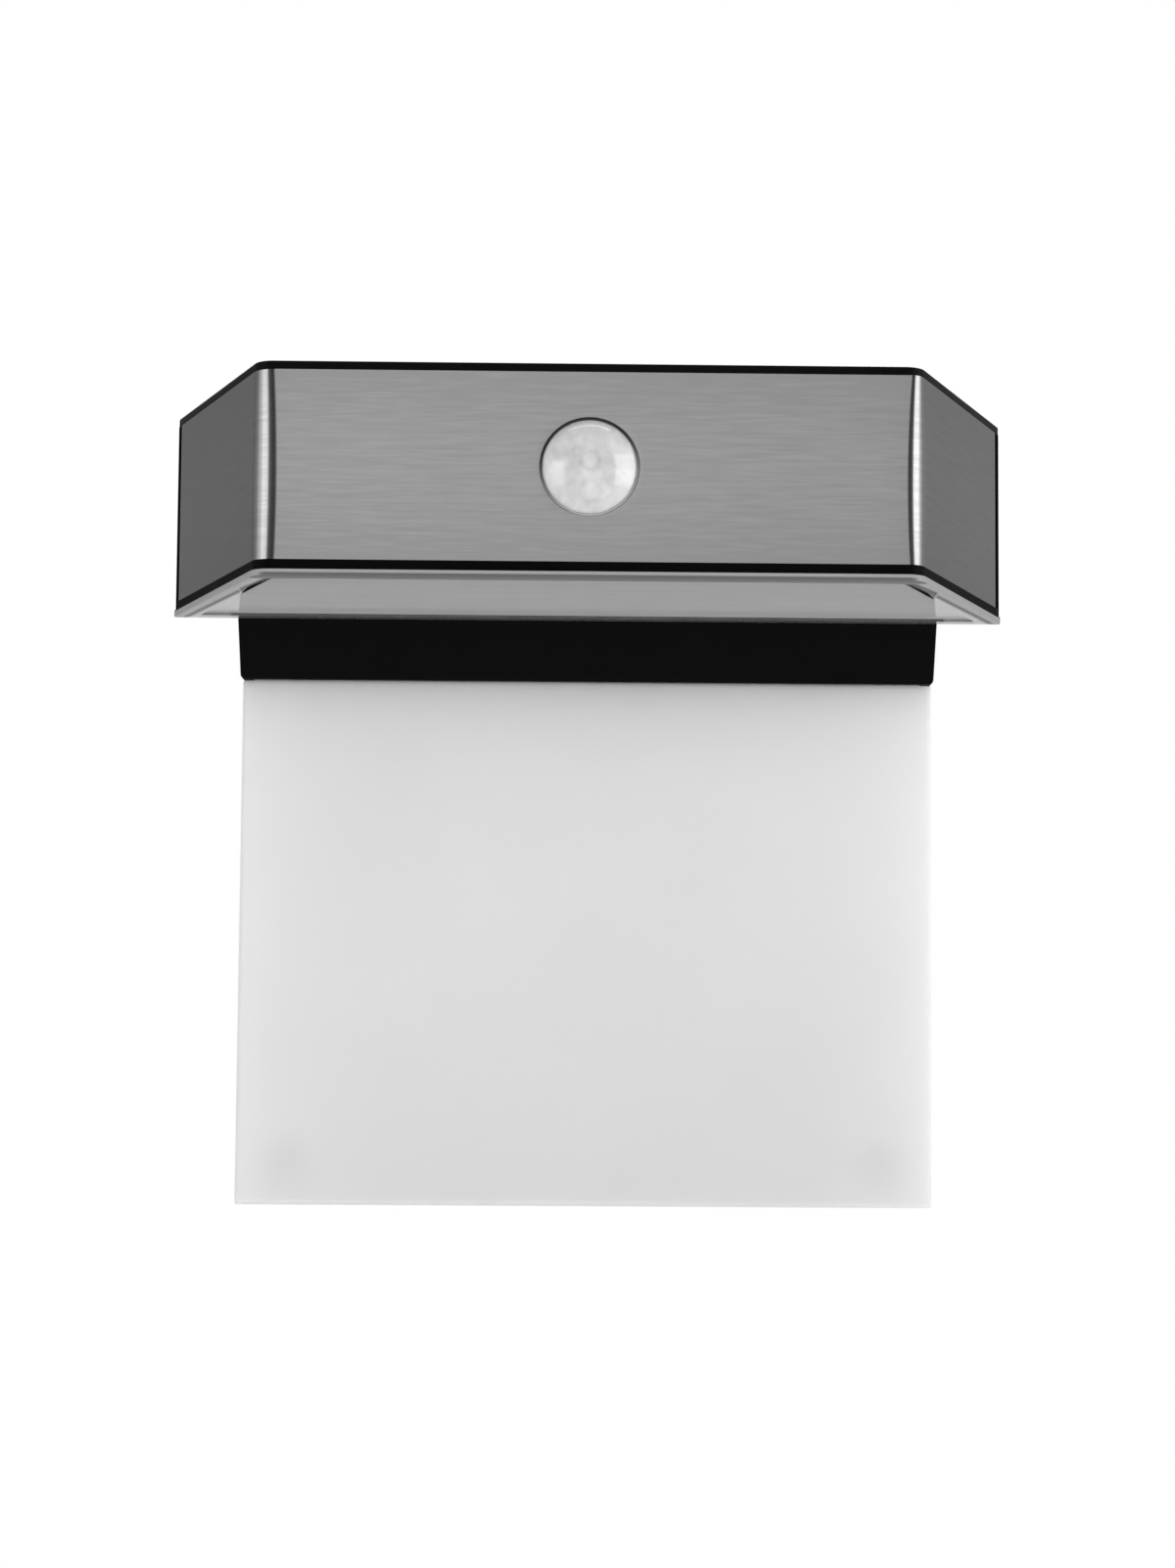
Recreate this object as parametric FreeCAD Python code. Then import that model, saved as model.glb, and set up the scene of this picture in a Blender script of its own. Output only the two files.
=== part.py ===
import FreeCAD, Part
import os
from math import asin, atan, cos, radians, sin, tan

Vector = FreeCAD.Vector

# A wall light with a solar head on a tilting wall bracket, and a frosted plate below it.
# All lengths are millimetres. X runs to the right, Y into the wall and Z up.
# The wall is the plane y = 0, and the origin lies midway between the two wall screws.

# The head's outside
head_back_width = 193.0
head_front_width = 143.2
head_depth = 66.0
head_stand_off = 23.0
head_base_drop = 22.0
fold_radius = 4.5
low_band_height = 1.9
steel_height = 41.5
top_band_height = 1.9

# Gaps, threads and how far a cutting shape runs past what it cuts
overrun = 1.0
seat_gap = 0.1
slide_gap = 0.3
thread_gap = 0.05

# Steel shroud
sheet = 0.8

# Chassis inside the shroud
chassis_wall = 2.0
rear_lip_depth = 1.0
flange_width = 5.0
lens_hole_gap = 0.2
tub_corner_radius = 2.0

# Pocket in the chassis for the tilt joint, and the joint's own pieces
axis_inset = 8.0
axis_drop = 10.0
pocket_side_room = 2.3
pocket_depth = 16.0
pocket_sill = 0.5
pocket_headroom = 1.9
pocket_wall = 1.2
knuckle_radius = 6.0
knuckle_half_width = 10.5
washer_thickness = 0.5
washer_radius = 5.5
washer_gap = 0.05
arm_thickness = 5.0
arm_half_height = 5.5
arm_root_height = 14.0
arm_taper_start = 1.5
tilt_bolt_radius = 2.5
tilt_bolt_gap = 0.06
tilt_head_radius = 4.25
tilt_head_height = 3.2
tilt_socket_radius = 1.9
tilt_socket_depth = 1.8
tilt_nut_half_width = 4.0
tilt_nut_height = 3.6

# Solar top
ledge_inset = 5.0
opening_inset = 8.0
ledge_thickness = 1.5
gasket_thickness = 0.4
glass_thickness = 1.2
cell_thickness = 0.3
backing_thickness = 0.8
cell_columns = 12
cell_gap = 0.8
cell_margin = 2.5
frame_boss_radius = 3.2
frame_boss_height = 3.8
frame_boss_inset = 6.5
front_boss_end_room = 9.6
rear_boss_end_room = 3.0
rear_boss_inset = 6.2
chassis_boss_height = 9.0
boss_web_width = 2.4

# Underside
base_thickness = 1.6
base_overhang = 0.5
base_rim_width = 4.9
base_recess = 0.5
seal_groove_inset = 2.0
seal_width = 1.4
seal_depth = 0.8
tray_thickness = 1.0
downlight_count = 6
downlight_end_room = 17.6
downlight_size = 3.5
downlight_height = 1.0
downlight_inset = 14.0
downlight_board_width = 14.0
downlight_board_margin = 8.0
board_thickness = 1.0
tray_post_radius = 2.0

# Motion sensor
lens_radius = 10.25
lens_crown = 4.5
lens_wall = 0.8
lens_sink = 0.5
lens_flange_radius = 12.8
lens_flange_thickness = 1.0
lens_length = 4.0
lens_ring_gap = 0.15
retainer_nose_radius = 10.95
steel_hole_gap = 0.15
retainer_sink = 0.3
carrier_outer_radius = 13.8
carrier_inner_radius = 11.5
carrier_length = 5.5
carrier_ear_reach = 21.5
carrier_ear_half_height = 3.5
carrier_ear_thickness = 1.6
carrier_screw_side = 18.5
carrier_boss_length = 4.1
sensor_board_side = 27.0
sensor_board_thickness = 1.4
sensor_can_radius = 4.6
sensor_can_height = 4.2
sensor_flange_radius = 5.2
sensor_flange_height = 0.6
sensor_window_width = 4.0
sensor_window_height = 3.0
sensor_window_depth = 0.3

# Battery
battery_side_gap = 2.0
battery_pocket_gap = 4.6
holder_depth = 17.0
holder_wall = 1.4
holder_gap = 0.4
cell_radius = 7.1
cell_pitch = 15.4
cell_side_gap = 1.2
cell_pip_radius = 2.6
cell_pip_length = 1.0
contact_thickness = 0.4
contact_room = 1.8
contact_side = 9.0
contact_spring_radius = 3.4
cover_side_margin = 6.2
cover_end_margin = 3.0
cover_thickness = 1.6
cover_corner_radius = 4.0
cover_seal_thickness = 0.6
cover_screw_inset = 3.2

# Electronics on the right
control_board_height = 32.0
control_board_thickness = 1.6
control_board_side_gap = 2.6
control_board_pocket_gap = 6.8
control_post_height = 14.4
control_post_radius = 3.0
control_post_inset = 3.6
switch_side = 6.4
switch_height = 3.8
plunger_radius = 1.6
plunger_length = 3.6
plunger_bore_gap = 0.3
plunger_bore_depth = 3.2

# Push button on the back
button_z = 1.0
button_radius = 6.0
button_flange_radius = 7.4
button_flange_thickness = 1.0
button_rise = 1.8
button_round = 0.6
button_stem_radius = 2.0
button_travel = 1.0

# Small screws
screw_radius = 1.25
screw_head_radius = 2.2
screw_head_height = 1.3
screw_length = 8.0
screw_recess_depth = 0.7
screw_recess_width = 0.6
screw_recess_reach = 1.4

# Wall bracket
bracket_end_room = 16.0
bracket_top = 18.0
bracket_thickness = 4.0
bracket_corner_radius = 4.0
wall_screw_side = 30.0
wall_screw_hole_radius = 2.6
wall_screw_sink_radius = 5.0
wall_screw_sink_depth = 2.2
holder_screw_inset = 10.0
holder_screw_rise = 3.1
holder_screw_length = 9.0

# Panel holder, the black bar over the frosted plate
bar_side_rise = 0.4
bar_drop = 12.5
bar_height = 16.1
bar_clearance = 5.2
bar_lip = 1.6
bar_edge_radius = 0.7
bar_corner_radius = 1.0
bar_wall = 2.0
bar_pocket_height = 4.0
bar_end_wall = 2.6
boss_half_width = 5.0
channel_height = 8.7

# Frosted plate
panel_width = 164.4
panel_drop = 124.4
panel_thickness = 4.0
panel_stand_off = 2.0
panel_edge_bevel = 0.8
panel_gap = 0.2
tenon_side_gap = 0.5
led_gap = 0.4
edge_led_count = 9
edge_led_width = 3.0
edge_led_depth = 2.8
edge_led_height = 0.9
clamp_screw_count = 4
clamp_screw_rise = 3.1
clamp_head_height = 1.2
clamp_screw_length = 7.3
clamp_screw_bore_gap = 0.4
pad_radius = 5.0
pad_inset = 12.2
pad_rise = 10.0

# The head's planes and levels, worked out from the sizes above
head_back_y = -head_stand_off
head_front_y = head_back_y - head_depth
side_slope = (head_back_width - head_front_width) / 2 / head_depth
side_cosine = cos(atan(side_slope))
low_band_z = -head_base_drop
steel_z = low_band_z + low_band_height
steel_top_z = steel_z + steel_height
head_top_z = steel_top_z + top_band_height
base_z = low_band_z - base_thickness
tub_inset = sheet + seat_gap
inner_inset = tub_inset + chassis_wall
rear_inner_y = head_back_y - chassis_wall
front_inner_y = head_front_y + inner_inset
tray_z = low_band_z + seat_gap
tray_top_z = tray_z + tray_thickness
downlight_pitch = (head_front_width - 2 * downlight_end_room) / downlight_count
downlight_board_z = tray_top_z + downlight_height
downlight_y = head_front_y + downlight_inset
ledge_top_z = steel_top_z + seat_gap
glass_z = ledge_top_z + gasket_thickness
ledge_z = ledge_top_z - ledge_thickness
front_boss_side = head_front_width / 2 - front_boss_end_room

# The tilt joint
axis_y = head_back_y - axis_inset
axis_z = -axis_drop
arm_inner_x = knuckle_half_width + washer_thickness + 2 * washer_gap
arm_outer_x = arm_inner_x + arm_thickness
pocket_half_width = arm_outer_x + max(tilt_nut_height, tilt_head_height) + pocket_side_room
rear_boss_side = pocket_half_width - rear_boss_end_room

# The motion sensor
lens_z = steel_z + steel_height / 2
lens_hole_radius = lens_flange_radius + lens_hole_gap
lens_rim_y = head_front_y + lens_sink
lens_back_y = lens_rim_y + lens_length
carrier_back_y = lens_back_y + carrier_length
carrier_boss_y = front_inner_y + carrier_boss_length

# The wall bracket, the bar and the frosted plate
bracket_half_width = wall_screw_side + bracket_end_room
holder_screw_side = bracket_half_width - holder_screw_inset
panel_back_y = -panel_stand_off
panel_front_y = panel_back_y - panel_thickness
bar_width = panel_width + 2 * bar_side_rise
bar_bottom = base_z - bar_drop
bar_top = bar_bottom + bar_height
bar_top_front = head_back_y + bar_clearance
bar_bottom_front = panel_front_y - bar_lip
channel_roof = bar_bottom + channel_height
channel_half_width = bar_width / 2 - bar_end_wall
bracket_bottom = channel_roof + slide_gap
holder_screw_z = bracket_bottom + holder_screw_rise
panel_bottom = bar_bottom - panel_drop
edge_board_z = channel_roof - seat_gap - board_thickness
edge_led_z = edge_board_z - edge_led_height
edge_led_pitch = 2 * channel_half_width / edge_led_count
tenon_top_z = edge_led_z - led_gap
clamp_screw_pitch = 2 * channel_half_width / clamp_screw_count
clamp_screw_z = bar_bottom + clamp_screw_rise
pad_side = panel_width / 2 - pad_inset


def half_width_at(y, inset):
    """Half the head's width at depth y, measured inset inside the steel's outer face."""
    return head_front_width / 2 + (y - head_front_y) * side_slope - inset / side_cosine


# The battery's compartment lies between the chassis's slanting left side and the tilt pocket
holder_back_y = rear_inner_y - seat_gap
holder_front_y = holder_back_y - holder_depth
battery_cell_y = holder_front_y + holder_wall + cell_radius + holder_gap
holder_left_x = battery_side_gap - half_width_at(holder_front_y, inner_inset)
holder_right_x = -pocket_half_width - pocket_wall - battery_pocket_gap
battery_centre_x = (holder_left_x + holder_right_x) / 2
battery_opening_width = holder_right_x - holder_left_x - 2 * holder_wall
battery_opening_height = cell_pitch + 2 * (cell_radius + cell_side_gap)
holder_half_height = battery_opening_height / 2 + holder_wall
cell_length = battery_opening_width - 2 * contact_room
cover_width = battery_opening_width + 2 * cover_side_margin
cover_height = battery_opening_height + 2 * cover_end_margin
cover_y = head_back_y + cover_seal_thickness

# The control board lies between the tilt pocket and the slanting right side
board_back_y = rear_inner_y - control_post_height
board_front_y = board_back_y - control_board_thickness
board_left_x = pocket_half_width + pocket_wall + control_board_pocket_gap
board_right_x = half_width_at(board_front_y, inner_inset) - control_board_side_gap
control_board_centre_x = (board_left_x + board_right_x) / 2
control_board_width = board_right_x - board_left_x
button_x = control_board_centre_x
switch_top_y = board_back_y + switch_height
stem_end_y = switch_top_y + plunger_length - button_travel


def in_plan(z):
    """Lays a flat outline's first and second coordinate along X and Y, at height z."""
    return lambda point: Vector(point.x, point.y, z)


def in_front(y):
    """Lays a flat outline's coordinates along X and Z, at depth y."""
    return lambda point: Vector(point.x, y, point.y)


def in_side(x):
    """Lays a flat outline's coordinates along Y and Z, at x."""
    return lambda point: Vector(x, point.x, point.y)


def corner_points(before, here, after, radius):
    """Start, middle and end of the arc that rounds one corner of an outline."""
    to_before = (before - here).normalize()
    to_after = (after - here).normalize()
    half_angle = to_before.getAngle(to_after) / 2
    reach = radius / tan(half_angle)
    inward = (to_before + to_after).normalize()
    middle = here + inward * (radius / sin(half_angle) - radius)
    return here + to_before * reach, middle, here + to_after * reach


def outline(corners, place):
    """A closed wire through (u, v, radius) corners, each rounded to its radius."""
    flat = [Vector(u, v, 0) for u, v, radius in corners]
    turns = []
    for index, corner in enumerate(corners):
        here = flat[index]
        if corner[2] > 0:
            following = flat[(index + 1) % len(flat)]
            turns.append(corner_points(flat[index - 1], here, following, corner[2]))
        else:
            turns.append((here, None, here))
    edges = []
    for index, (start, middle, end) in enumerate(turns):
        if middle is not None:
            edges.append(Part.Arc(place(start), place(middle), place(end)).toShape())
        next_start = turns[(index + 1) % len(turns)][0]
        edges.append(Part.LineSegment(place(end), place(next_start)).toShape())
    return Part.Wire(edges)


def prism(corners, place, along):
    """A solid made by carrying an outline along a vector."""
    return Part.Face(outline(corners, place)).extrude(along)


def upright(corners, z0, z1):
    return prism(corners, in_plan(z0), Vector(0, 0, z1 - z0))


def through_depth(corners, y0, y1):
    return prism(corners, in_front(y0), Vector(0, y1 - y0, 0))


def across(corners, x0, x1):
    return prism(corners, in_side(x0), Vector(x1 - x0, 0, 0))


def rectangle(u0, v0, u1, v1, radius=0):
    return [(u0, v0, radius), (u1, v0, radius), (u1, v1, radius), (u0, v1, radius)]


def block(x0, x1, y0, y1, z0, z1):
    return Part.makeBox(x1 - x0, y1 - y0, z1 - z0, Vector(x0, y0, z0))


def rod_y(radius, x, z, y0, y1):
    return Part.makeCylinder(radius, y1 - y0, Vector(x, y0, z), Vector(0, 1, 0))


def rod_x(radius, y, z, x0, x1):
    return Part.makeCylinder(radius, x1 - x0, Vector(x0, y, z), Vector(1, 0, 0))


def rod_z(radius, x, y, z0, z1):
    return Part.makeCylinder(radius, z1 - z0, Vector(x, y, z0), Vector(0, 0, 1))


def joined(shapes):
    """One shape from several that touch or overlap."""
    whole = shapes[0].fuse(shapes[1:]) if len(shapes) > 1 else shapes[0]
    return whole.removeSplitter()


def side_by_side(shapes):
    """A group of separate solids that share one name."""
    return Part.makeCompound(shapes)


def head_plan(inset, back_inset):
    """The head's plan, its front and sides drawn in by inset and its back by back_inset."""
    front_y = head_front_y + inset
    back_y = head_back_y - back_inset
    front_x = half_width_at(front_y, inset)
    back_x = half_width_at(back_y, inset)
    radius = max(fold_radius - inset, tub_corner_radius)
    return [
        (-front_x, front_y, radius),
        (front_x, front_y, radius),
        (back_x, back_y, 0),
        (-back_x, back_y, 0),
    ]


def head_slab(inset, back_inset, z0, z1):
    return upright(head_plan(inset, back_inset), z0, z1)


def screw(seat, along, length, head_height=screw_head_height):
    """A pan head screw: seat is where its head bears, along points down the shank."""
    shank = Part.makeCylinder(screw_radius, length, seat, along)
    head = Part.makeCylinder(screw_head_radius, head_height, seat, along * -1)
    top = seat - along * head_height
    aside = Vector(0, 0, 1) if abs(along.z) < 0.5 else Vector(0, 1, 0)
    other = along.cross(aside)
    body = shank.fuse(head)
    for arm, cross in ((aside, other), (other, aside)):
        corner = top - arm * screw_recess_reach - cross * (screw_recess_width / 2)
        slot = Part.Face(
            Part.makePolygon(
                [
                    corner,
                    corner + arm * (2 * screw_recess_reach),
                    corner + arm * (2 * screw_recess_reach) + cross * screw_recess_width,
                    corner + cross * screw_recess_width,
                    corner,
                ]
            )
        ).extrude(along * screw_recess_depth)
        body = body.cut(slot)
    return body


def frame_screw_places():
    """Where the four screws that hold the solar frame stand in plan."""
    front_y = head_front_y + frame_boss_inset
    rear_y = head_back_y - rear_boss_inset
    return [
        (-front_boss_side, front_y),
        (front_boss_side, front_y),
        (-rear_boss_side, rear_y),
        (rear_boss_side, rear_y),
    ]


def control_post_places():
    """Where the three posts that carry the control board stand, seen from the front."""
    left = board_left_x + control_post_inset
    right = board_right_x - control_post_inset
    low = button_z - control_board_height / 2 + control_post_inset
    high = button_z + control_board_height / 2 - control_post_inset
    return [(left, low), (left, high), (right, high)]


def cover_screw_places():
    reach = cover_width / 2 - cover_screw_inset
    return [battery_centre_x - reach, battery_centre_x + reach]


def downlight_places():
    first = -(downlight_count - 1) / 2 * downlight_pitch
    return [first + index * downlight_pitch for index in range(downlight_count)]


def pilot_radius():
    return screw_radius + thread_gap


def make_steel_shroud():
    """Sheet folded round the front and the two sides, with a hole for the lens."""
    back_inset = rear_lip_depth + seat_gap
    outer = head_slab(0, back_inset, steel_z, steel_top_z)
    inner = head_slab(sheet, -overrun, steel_z - overrun, steel_top_z + overrun)
    hole_radius = retainer_nose_radius + steel_hole_gap
    hole = rod_y(hole_radius, 0, lens_z, head_front_y - overrun, head_front_y + inner_inset)
    return outer.cut(inner).cut(hole)


def chassis_walls():
    """The tub's walls, the low band under the steel and the lip behind it."""
    tub = head_slab(tub_inset, 0, steel_z, steel_top_z)
    band = head_slab(0, 0, low_band_z, steel_z)
    lip = head_slab(0, 0, steel_z, steel_top_z).common(
        block(
            -head_back_width,
            head_back_width,
            head_back_y - rear_lip_depth,
            head_back_y,
            steel_z,
            steel_top_z,
        )
    )
    inside = head_slab(inner_inset, chassis_wall, steel_z, steel_top_z + overrun)
    window = head_slab(flange_width, flange_width, low_band_z - overrun, steel_z + overrun)
    return joined([tub, band, lip]).cut(inside).cut(window)


def tilt_pocket():
    """The box around the tilt joint, and the knuckle in it that the bolt goes through."""
    floor_z = steel_z + pocket_sill
    roof_z = axis_z + arm_half_height + pocket_headroom
    front_y = head_back_y - pocket_depth
    shell = block(
        -pocket_half_width - pocket_wall,
        pocket_half_width + pocket_wall,
        front_y - pocket_wall,
        head_back_y,
        floor_z - pocket_wall,
        roof_z + pocket_wall,
    )
    space = block(
        -pocket_half_width, pocket_half_width, front_y, head_back_y + overrun, floor_z, roof_z
    )
    knuckle = joined(
        [
            rod_x(knuckle_radius, axis_y, axis_z, -knuckle_half_width, knuckle_half_width),
            block(
                -knuckle_half_width,
                knuckle_half_width,
                front_y,
                axis_y,
                axis_z - knuckle_radius,
                axis_z + knuckle_radius,
            ),
        ]
    )
    bore = rod_x(
        tilt_bolt_radius + tilt_bolt_gap, axis_y, axis_z, -pocket_half_width, pocket_half_width
    )
    return shell, space, knuckle.cut(bore)


def chassis_bosses():
    """Bosses for the frame, cover and sensor screws, and posts for the control board."""
    solids = []
    holes = []
    for x, y in frame_screw_places():
        top = ledge_z - frame_boss_height - seat_gap
        bottom = top - chassis_boss_height
        solids.append(rod_z(frame_boss_radius, x, y, bottom, top))
        wall_y = rear_inner_y if y > (head_front_y + head_back_y) / 2 else front_inner_y
        solids.append(
            block(
                x - boss_web_width / 2,
                x + boss_web_width / 2,
                min(y, wall_y),
                max(y, wall_y),
                bottom,
                top,
            )
        )
        holes.append(rod_z(pilot_radius(), x, y, bottom - overrun, top + overrun))
    for x in (-carrier_screw_side, carrier_screw_side):
        solids.append(
            rod_y(carrier_ear_half_height, x, lens_z, front_inner_y, carrier_boss_y)
        )
        holes.append(
            rod_y(pilot_radius(), x, lens_z, front_inner_y, carrier_boss_y + overrun)
        )
    for x, z in control_post_places():
        solids.append(rod_y(control_post_radius, x, z, board_back_y, rear_inner_y))
        holes.append(rod_y(pilot_radius(), x, z, board_back_y - overrun, rear_inner_y))
    return solids, holes


def make_chassis():
    """The black tub that carries everything in the head."""
    shell, space, knuckle = tilt_pocket()
    bosses, boss_holes = chassis_bosses()
    tub = joined([chassis_walls(), shell] + bosses).cut(space).fuse(knuckle)
    cuts = list(boss_holes)
    groove_z = low_band_z + seal_depth
    groove_outer = head_slab(
        seal_groove_inset, seal_groove_inset, low_band_z - overrun, groove_z
    )
    groove_inner = head_slab(
        seal_groove_inset + seal_width,
        seal_groove_inset + seal_width,
        low_band_z - overrun,
        groove_z,
    )
    cuts.append(groove_outer.cut(groove_inner))
    cuts.append(
        rod_y(lens_hole_radius, 0, lens_z, head_front_y, front_inner_y + overrun)
    )
    half = battery_opening_width / 2
    cuts.append(
        through_depth(
            rectangle(
                battery_centre_x - half,
                -battery_opening_height / 2,
                battery_centre_x + half,
                battery_opening_height / 2,
            ),
            rear_inner_y - overrun,
            head_back_y + overrun,
        )
    )
    for x in cover_screw_places():
        cuts.append(
            rod_y(pilot_radius(), x, 0, rear_inner_y - overrun, head_back_y + overrun)
        )
    cuts.append(
        rod_y(
            button_radius + slide_gap,
            button_x,
            button_z,
            rear_inner_y - overrun,
            head_back_y + overrun,
        )
    )
    return tub.cut(side_by_side(cuts)).removeSplitter()


def make_base_seal():
    """Soft ring in the groove of the low band, pressed by the base plate."""
    outer = head_slab(
        seal_groove_inset + seat_gap / 2,
        seal_groove_inset + seat_gap / 2,
        low_band_z,
        low_band_z + seal_depth - seat_gap / 2,
    )
    inner = head_slab(
        seal_groove_inset + seal_width - seat_gap / 2,
        seal_groove_inset + seal_width - seat_gap / 2,
        low_band_z - overrun,
        low_band_z + seal_depth,
    )
    return outer.cut(inner)


def make_base_plate():
    """Clear cover under the head, with a rim that stands down round its recessed middle."""
    plate = head_slab(-base_overhang, -base_overhang, base_z, low_band_z)
    middle_inset = base_rim_width - base_overhang
    recess = head_slab(middle_inset, middle_inset, base_z - overrun, base_z + base_recess)
    return plate.cut(recess)


def make_reflector_tray():
    """White sheet over the base plate, with a window for each light and posts for their board."""
    inset = flange_width + seat_gap
    tray = head_slab(inset, inset, tray_z, tray_top_z)
    half = downlight_size / 2 + slide_gap
    windows = [
        block(
            x - half, x + half, downlight_y - half, downlight_y + half, tray_z, tray_top_z
        )
        for x in downlight_places()
    ]
    reach = downlight_pitch * downlight_count / 2
    posts = [
        rod_z(tray_post_radius, x, downlight_y, tray_top_z, downlight_board_z)
        for x in (-reach, 0, reach)
    ]
    return joined([tray.cut(side_by_side(windows))] + posts)


def make_downlight_board():
    half = downlight_pitch * downlight_count / 2 + downlight_board_margin / 2
    depth = downlight_board_width / 2
    return block(
        -half,
        half,
        downlight_y - depth,
        downlight_y + depth,
        downlight_board_z,
        downlight_board_z + board_thickness,
    )


def make_downlights():
    half = downlight_size / 2
    return side_by_side(
        [
            block(
                x - half,
                x + half,
                downlight_y - half,
                downlight_y + half,
                tray_top_z,
                downlight_board_z,
            )
            for x in downlight_places()
        ]
    )


def make_top_frame():
    """Black frame round the solar glass, with a ledge under it and a boss for each screw."""
    band = head_slab(0, 0, steel_top_z, head_top_z)
    inner = head_slab(inner_inset + slide_gap, chassis_wall + slide_gap, ledge_z, steel_top_z)
    body = joined([band, inner])
    body = body.cut(head_slab(ledge_inset, ledge_inset, ledge_top_z, head_top_z + overrun))
    body = body.cut(
        head_slab(opening_inset, opening_inset, ledge_z - overrun, head_top_z + overrun)
    )
    bosses = []
    holes = []
    for x, y in frame_screw_places():
        bosses.append(rod_z(frame_boss_radius, x, y, ledge_z - frame_boss_height, ledge_z))
        holes.append(rod_z(pilot_radius(), x, y, ledge_z - frame_boss_height - overrun, ledge_z))
    return joined([body] + bosses).cut(side_by_side(holes))


def make_frame_screws():
    """Screws from inside the tub, up through its bosses into the solar frame."""
    seat_z = ledge_z - frame_boss_height - seat_gap - chassis_boss_height
    length = chassis_boss_height + frame_boss_height
    return side_by_side(
        [screw(Vector(x, y, seat_z), Vector(0, 0, 1), length) for x, y in frame_screw_places()]
    )


def make_glass_gasket():
    inset = ledge_inset + slide_gap
    outer = head_slab(inset, inset, ledge_top_z, glass_z)
    inner = head_slab(opening_inset, opening_inset, ledge_top_z - overrun, glass_z + overrun)
    return outer.cut(inner)


def make_solar_glass():
    inset = ledge_inset + slide_gap
    return head_slab(inset, inset, glass_z, glass_z + glass_thickness)


def make_solar_cells():
    """Dark strips under the glass, the outer ones cut short by the slanting sides."""
    inset = opening_inset + cell_margin
    back_y = head_back_y - inset
    front_y = head_front_y + inset
    full = 2 * half_width_at(back_y, inset)
    pitch = full / cell_columns
    cells = []
    for index in range(cell_columns):
        left = -full / 2 + index * pitch + cell_gap / 2
        right = left + pitch - cell_gap
        reach = max(abs(left), abs(right))
        short = (reach - half_width_at(front_y, inset)) / side_slope
        start_y = front_y + max(short, 0)
        if back_y - start_y > cell_margin:
            cells.append(block(left, right, start_y, back_y, glass_z - cell_thickness, glass_z))
    return side_by_side(cells)


def make_solar_backing():
    inset = opening_inset + slide_gap
    top = glass_z - cell_thickness
    return head_slab(inset, inset, top - backing_thickness, top)


def make_pir_lens():
    """A shallow milky dome on a short sleeve, with a flange that is gripped inside the head."""
    ball = (lens_radius**2 + lens_crown**2) / (2 * lens_crown)
    centre_y = lens_rim_y - lens_crown + ball
    rim_angle = asin(lens_radius / ball)
    inner_ball = ball - lens_wall
    inner_radius = lens_radius - lens_wall
    inner_angle = asin(inner_radius / inner_ball)
    inner_rim_y = centre_y - inner_ball * cos(inner_angle)

    def at(radius, y):
        return Vector(radius, y, lens_z)

    def on_ball(size, angle):
        return at(size * sin(angle), centre_y - size * cos(angle))

    flange_y = lens_back_y - lens_flange_thickness
    edges = [
        Part.Arc(
            on_ball(ball, 0), on_ball(ball, rim_angle / 2), on_ball(ball, rim_angle)
        ).toShape(),
        Part.LineSegment(at(lens_radius, lens_rim_y), at(lens_radius, flange_y)).toShape(),
        Part.LineSegment(at(lens_radius, flange_y), at(lens_flange_radius, flange_y)).toShape(),
        Part.LineSegment(
            at(lens_flange_radius, flange_y), at(lens_flange_radius, lens_back_y)
        ).toShape(),
        Part.LineSegment(
            at(lens_flange_radius, lens_back_y), at(inner_radius, lens_back_y)
        ).toShape(),
        Part.LineSegment(at(inner_radius, lens_back_y), at(inner_radius, inner_rim_y)).toShape(),
        Part.Arc(
            on_ball(inner_ball, inner_angle),
            on_ball(inner_ball, inner_angle / 2),
            on_ball(inner_ball, 0),
        ).toShape(),
        Part.LineSegment(on_ball(inner_ball, 0), on_ball(ball, 0)).toShape(),
    ]
    return Part.Face(Part.Wire(edges)).revolve(Vector(0, 0, lens_z), Vector(0, 1, 0), 360)


def make_lens_retainer():
    """Black ring that fills the gap between the lens and the steel, held behind the sheet."""
    nose_y = head_front_y + retainer_sink
    body_y = head_front_y + sheet + seat_gap
    back_y = lens_back_y - lens_flange_thickness
    nose = rod_y(retainer_nose_radius, 0, lens_z, nose_y, body_y)
    body = rod_y(lens_flange_radius, 0, lens_z, body_y, back_y)
    bore = rod_y(lens_radius + lens_ring_gap, 0, lens_z, nose_y - overrun, back_y + overrun)
    return nose.fuse(body).cut(bore).removeSplitter()


def make_sensor_carrier():
    """Ring that presses the lens flange home and holds the sensor board."""
    ring = rod_y(carrier_outer_radius, 0, lens_z, lens_back_y, carrier_back_y)
    ears = block(
        -carrier_ear_reach,
        carrier_ear_reach,
        carrier_boss_y,
        carrier_boss_y + carrier_ear_thickness,
        lens_z - carrier_ear_half_height,
        lens_z + carrier_ear_half_height,
    )
    bore = rod_y(
        carrier_inner_radius, 0, lens_z, lens_back_y - overrun, carrier_back_y + overrun
    )
    holes = [
        rod_y(pilot_radius(), x, lens_z, carrier_boss_y - overrun, carrier_back_y)
        for x in (-carrier_screw_side, carrier_screw_side)
    ]
    return joined([ring, ears]).cut(side_by_side([bore] + holes))


def make_carrier_screws():
    seat_y = carrier_boss_y + carrier_ear_thickness
    length = carrier_boss_length + carrier_ear_thickness - seat_gap
    return side_by_side(
        [
            screw(Vector(x, seat_y, lens_z), Vector(0, -1, 0), length)
            for x in (-carrier_screw_side, carrier_screw_side)
        ]
    )


def make_sensor_board():
    half = sensor_board_side / 2
    corners = rectangle(-half, lens_z - half, half, lens_z + half, tub_corner_radius)
    return through_depth(corners, carrier_back_y, carrier_back_y + sensor_board_thickness)


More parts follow.
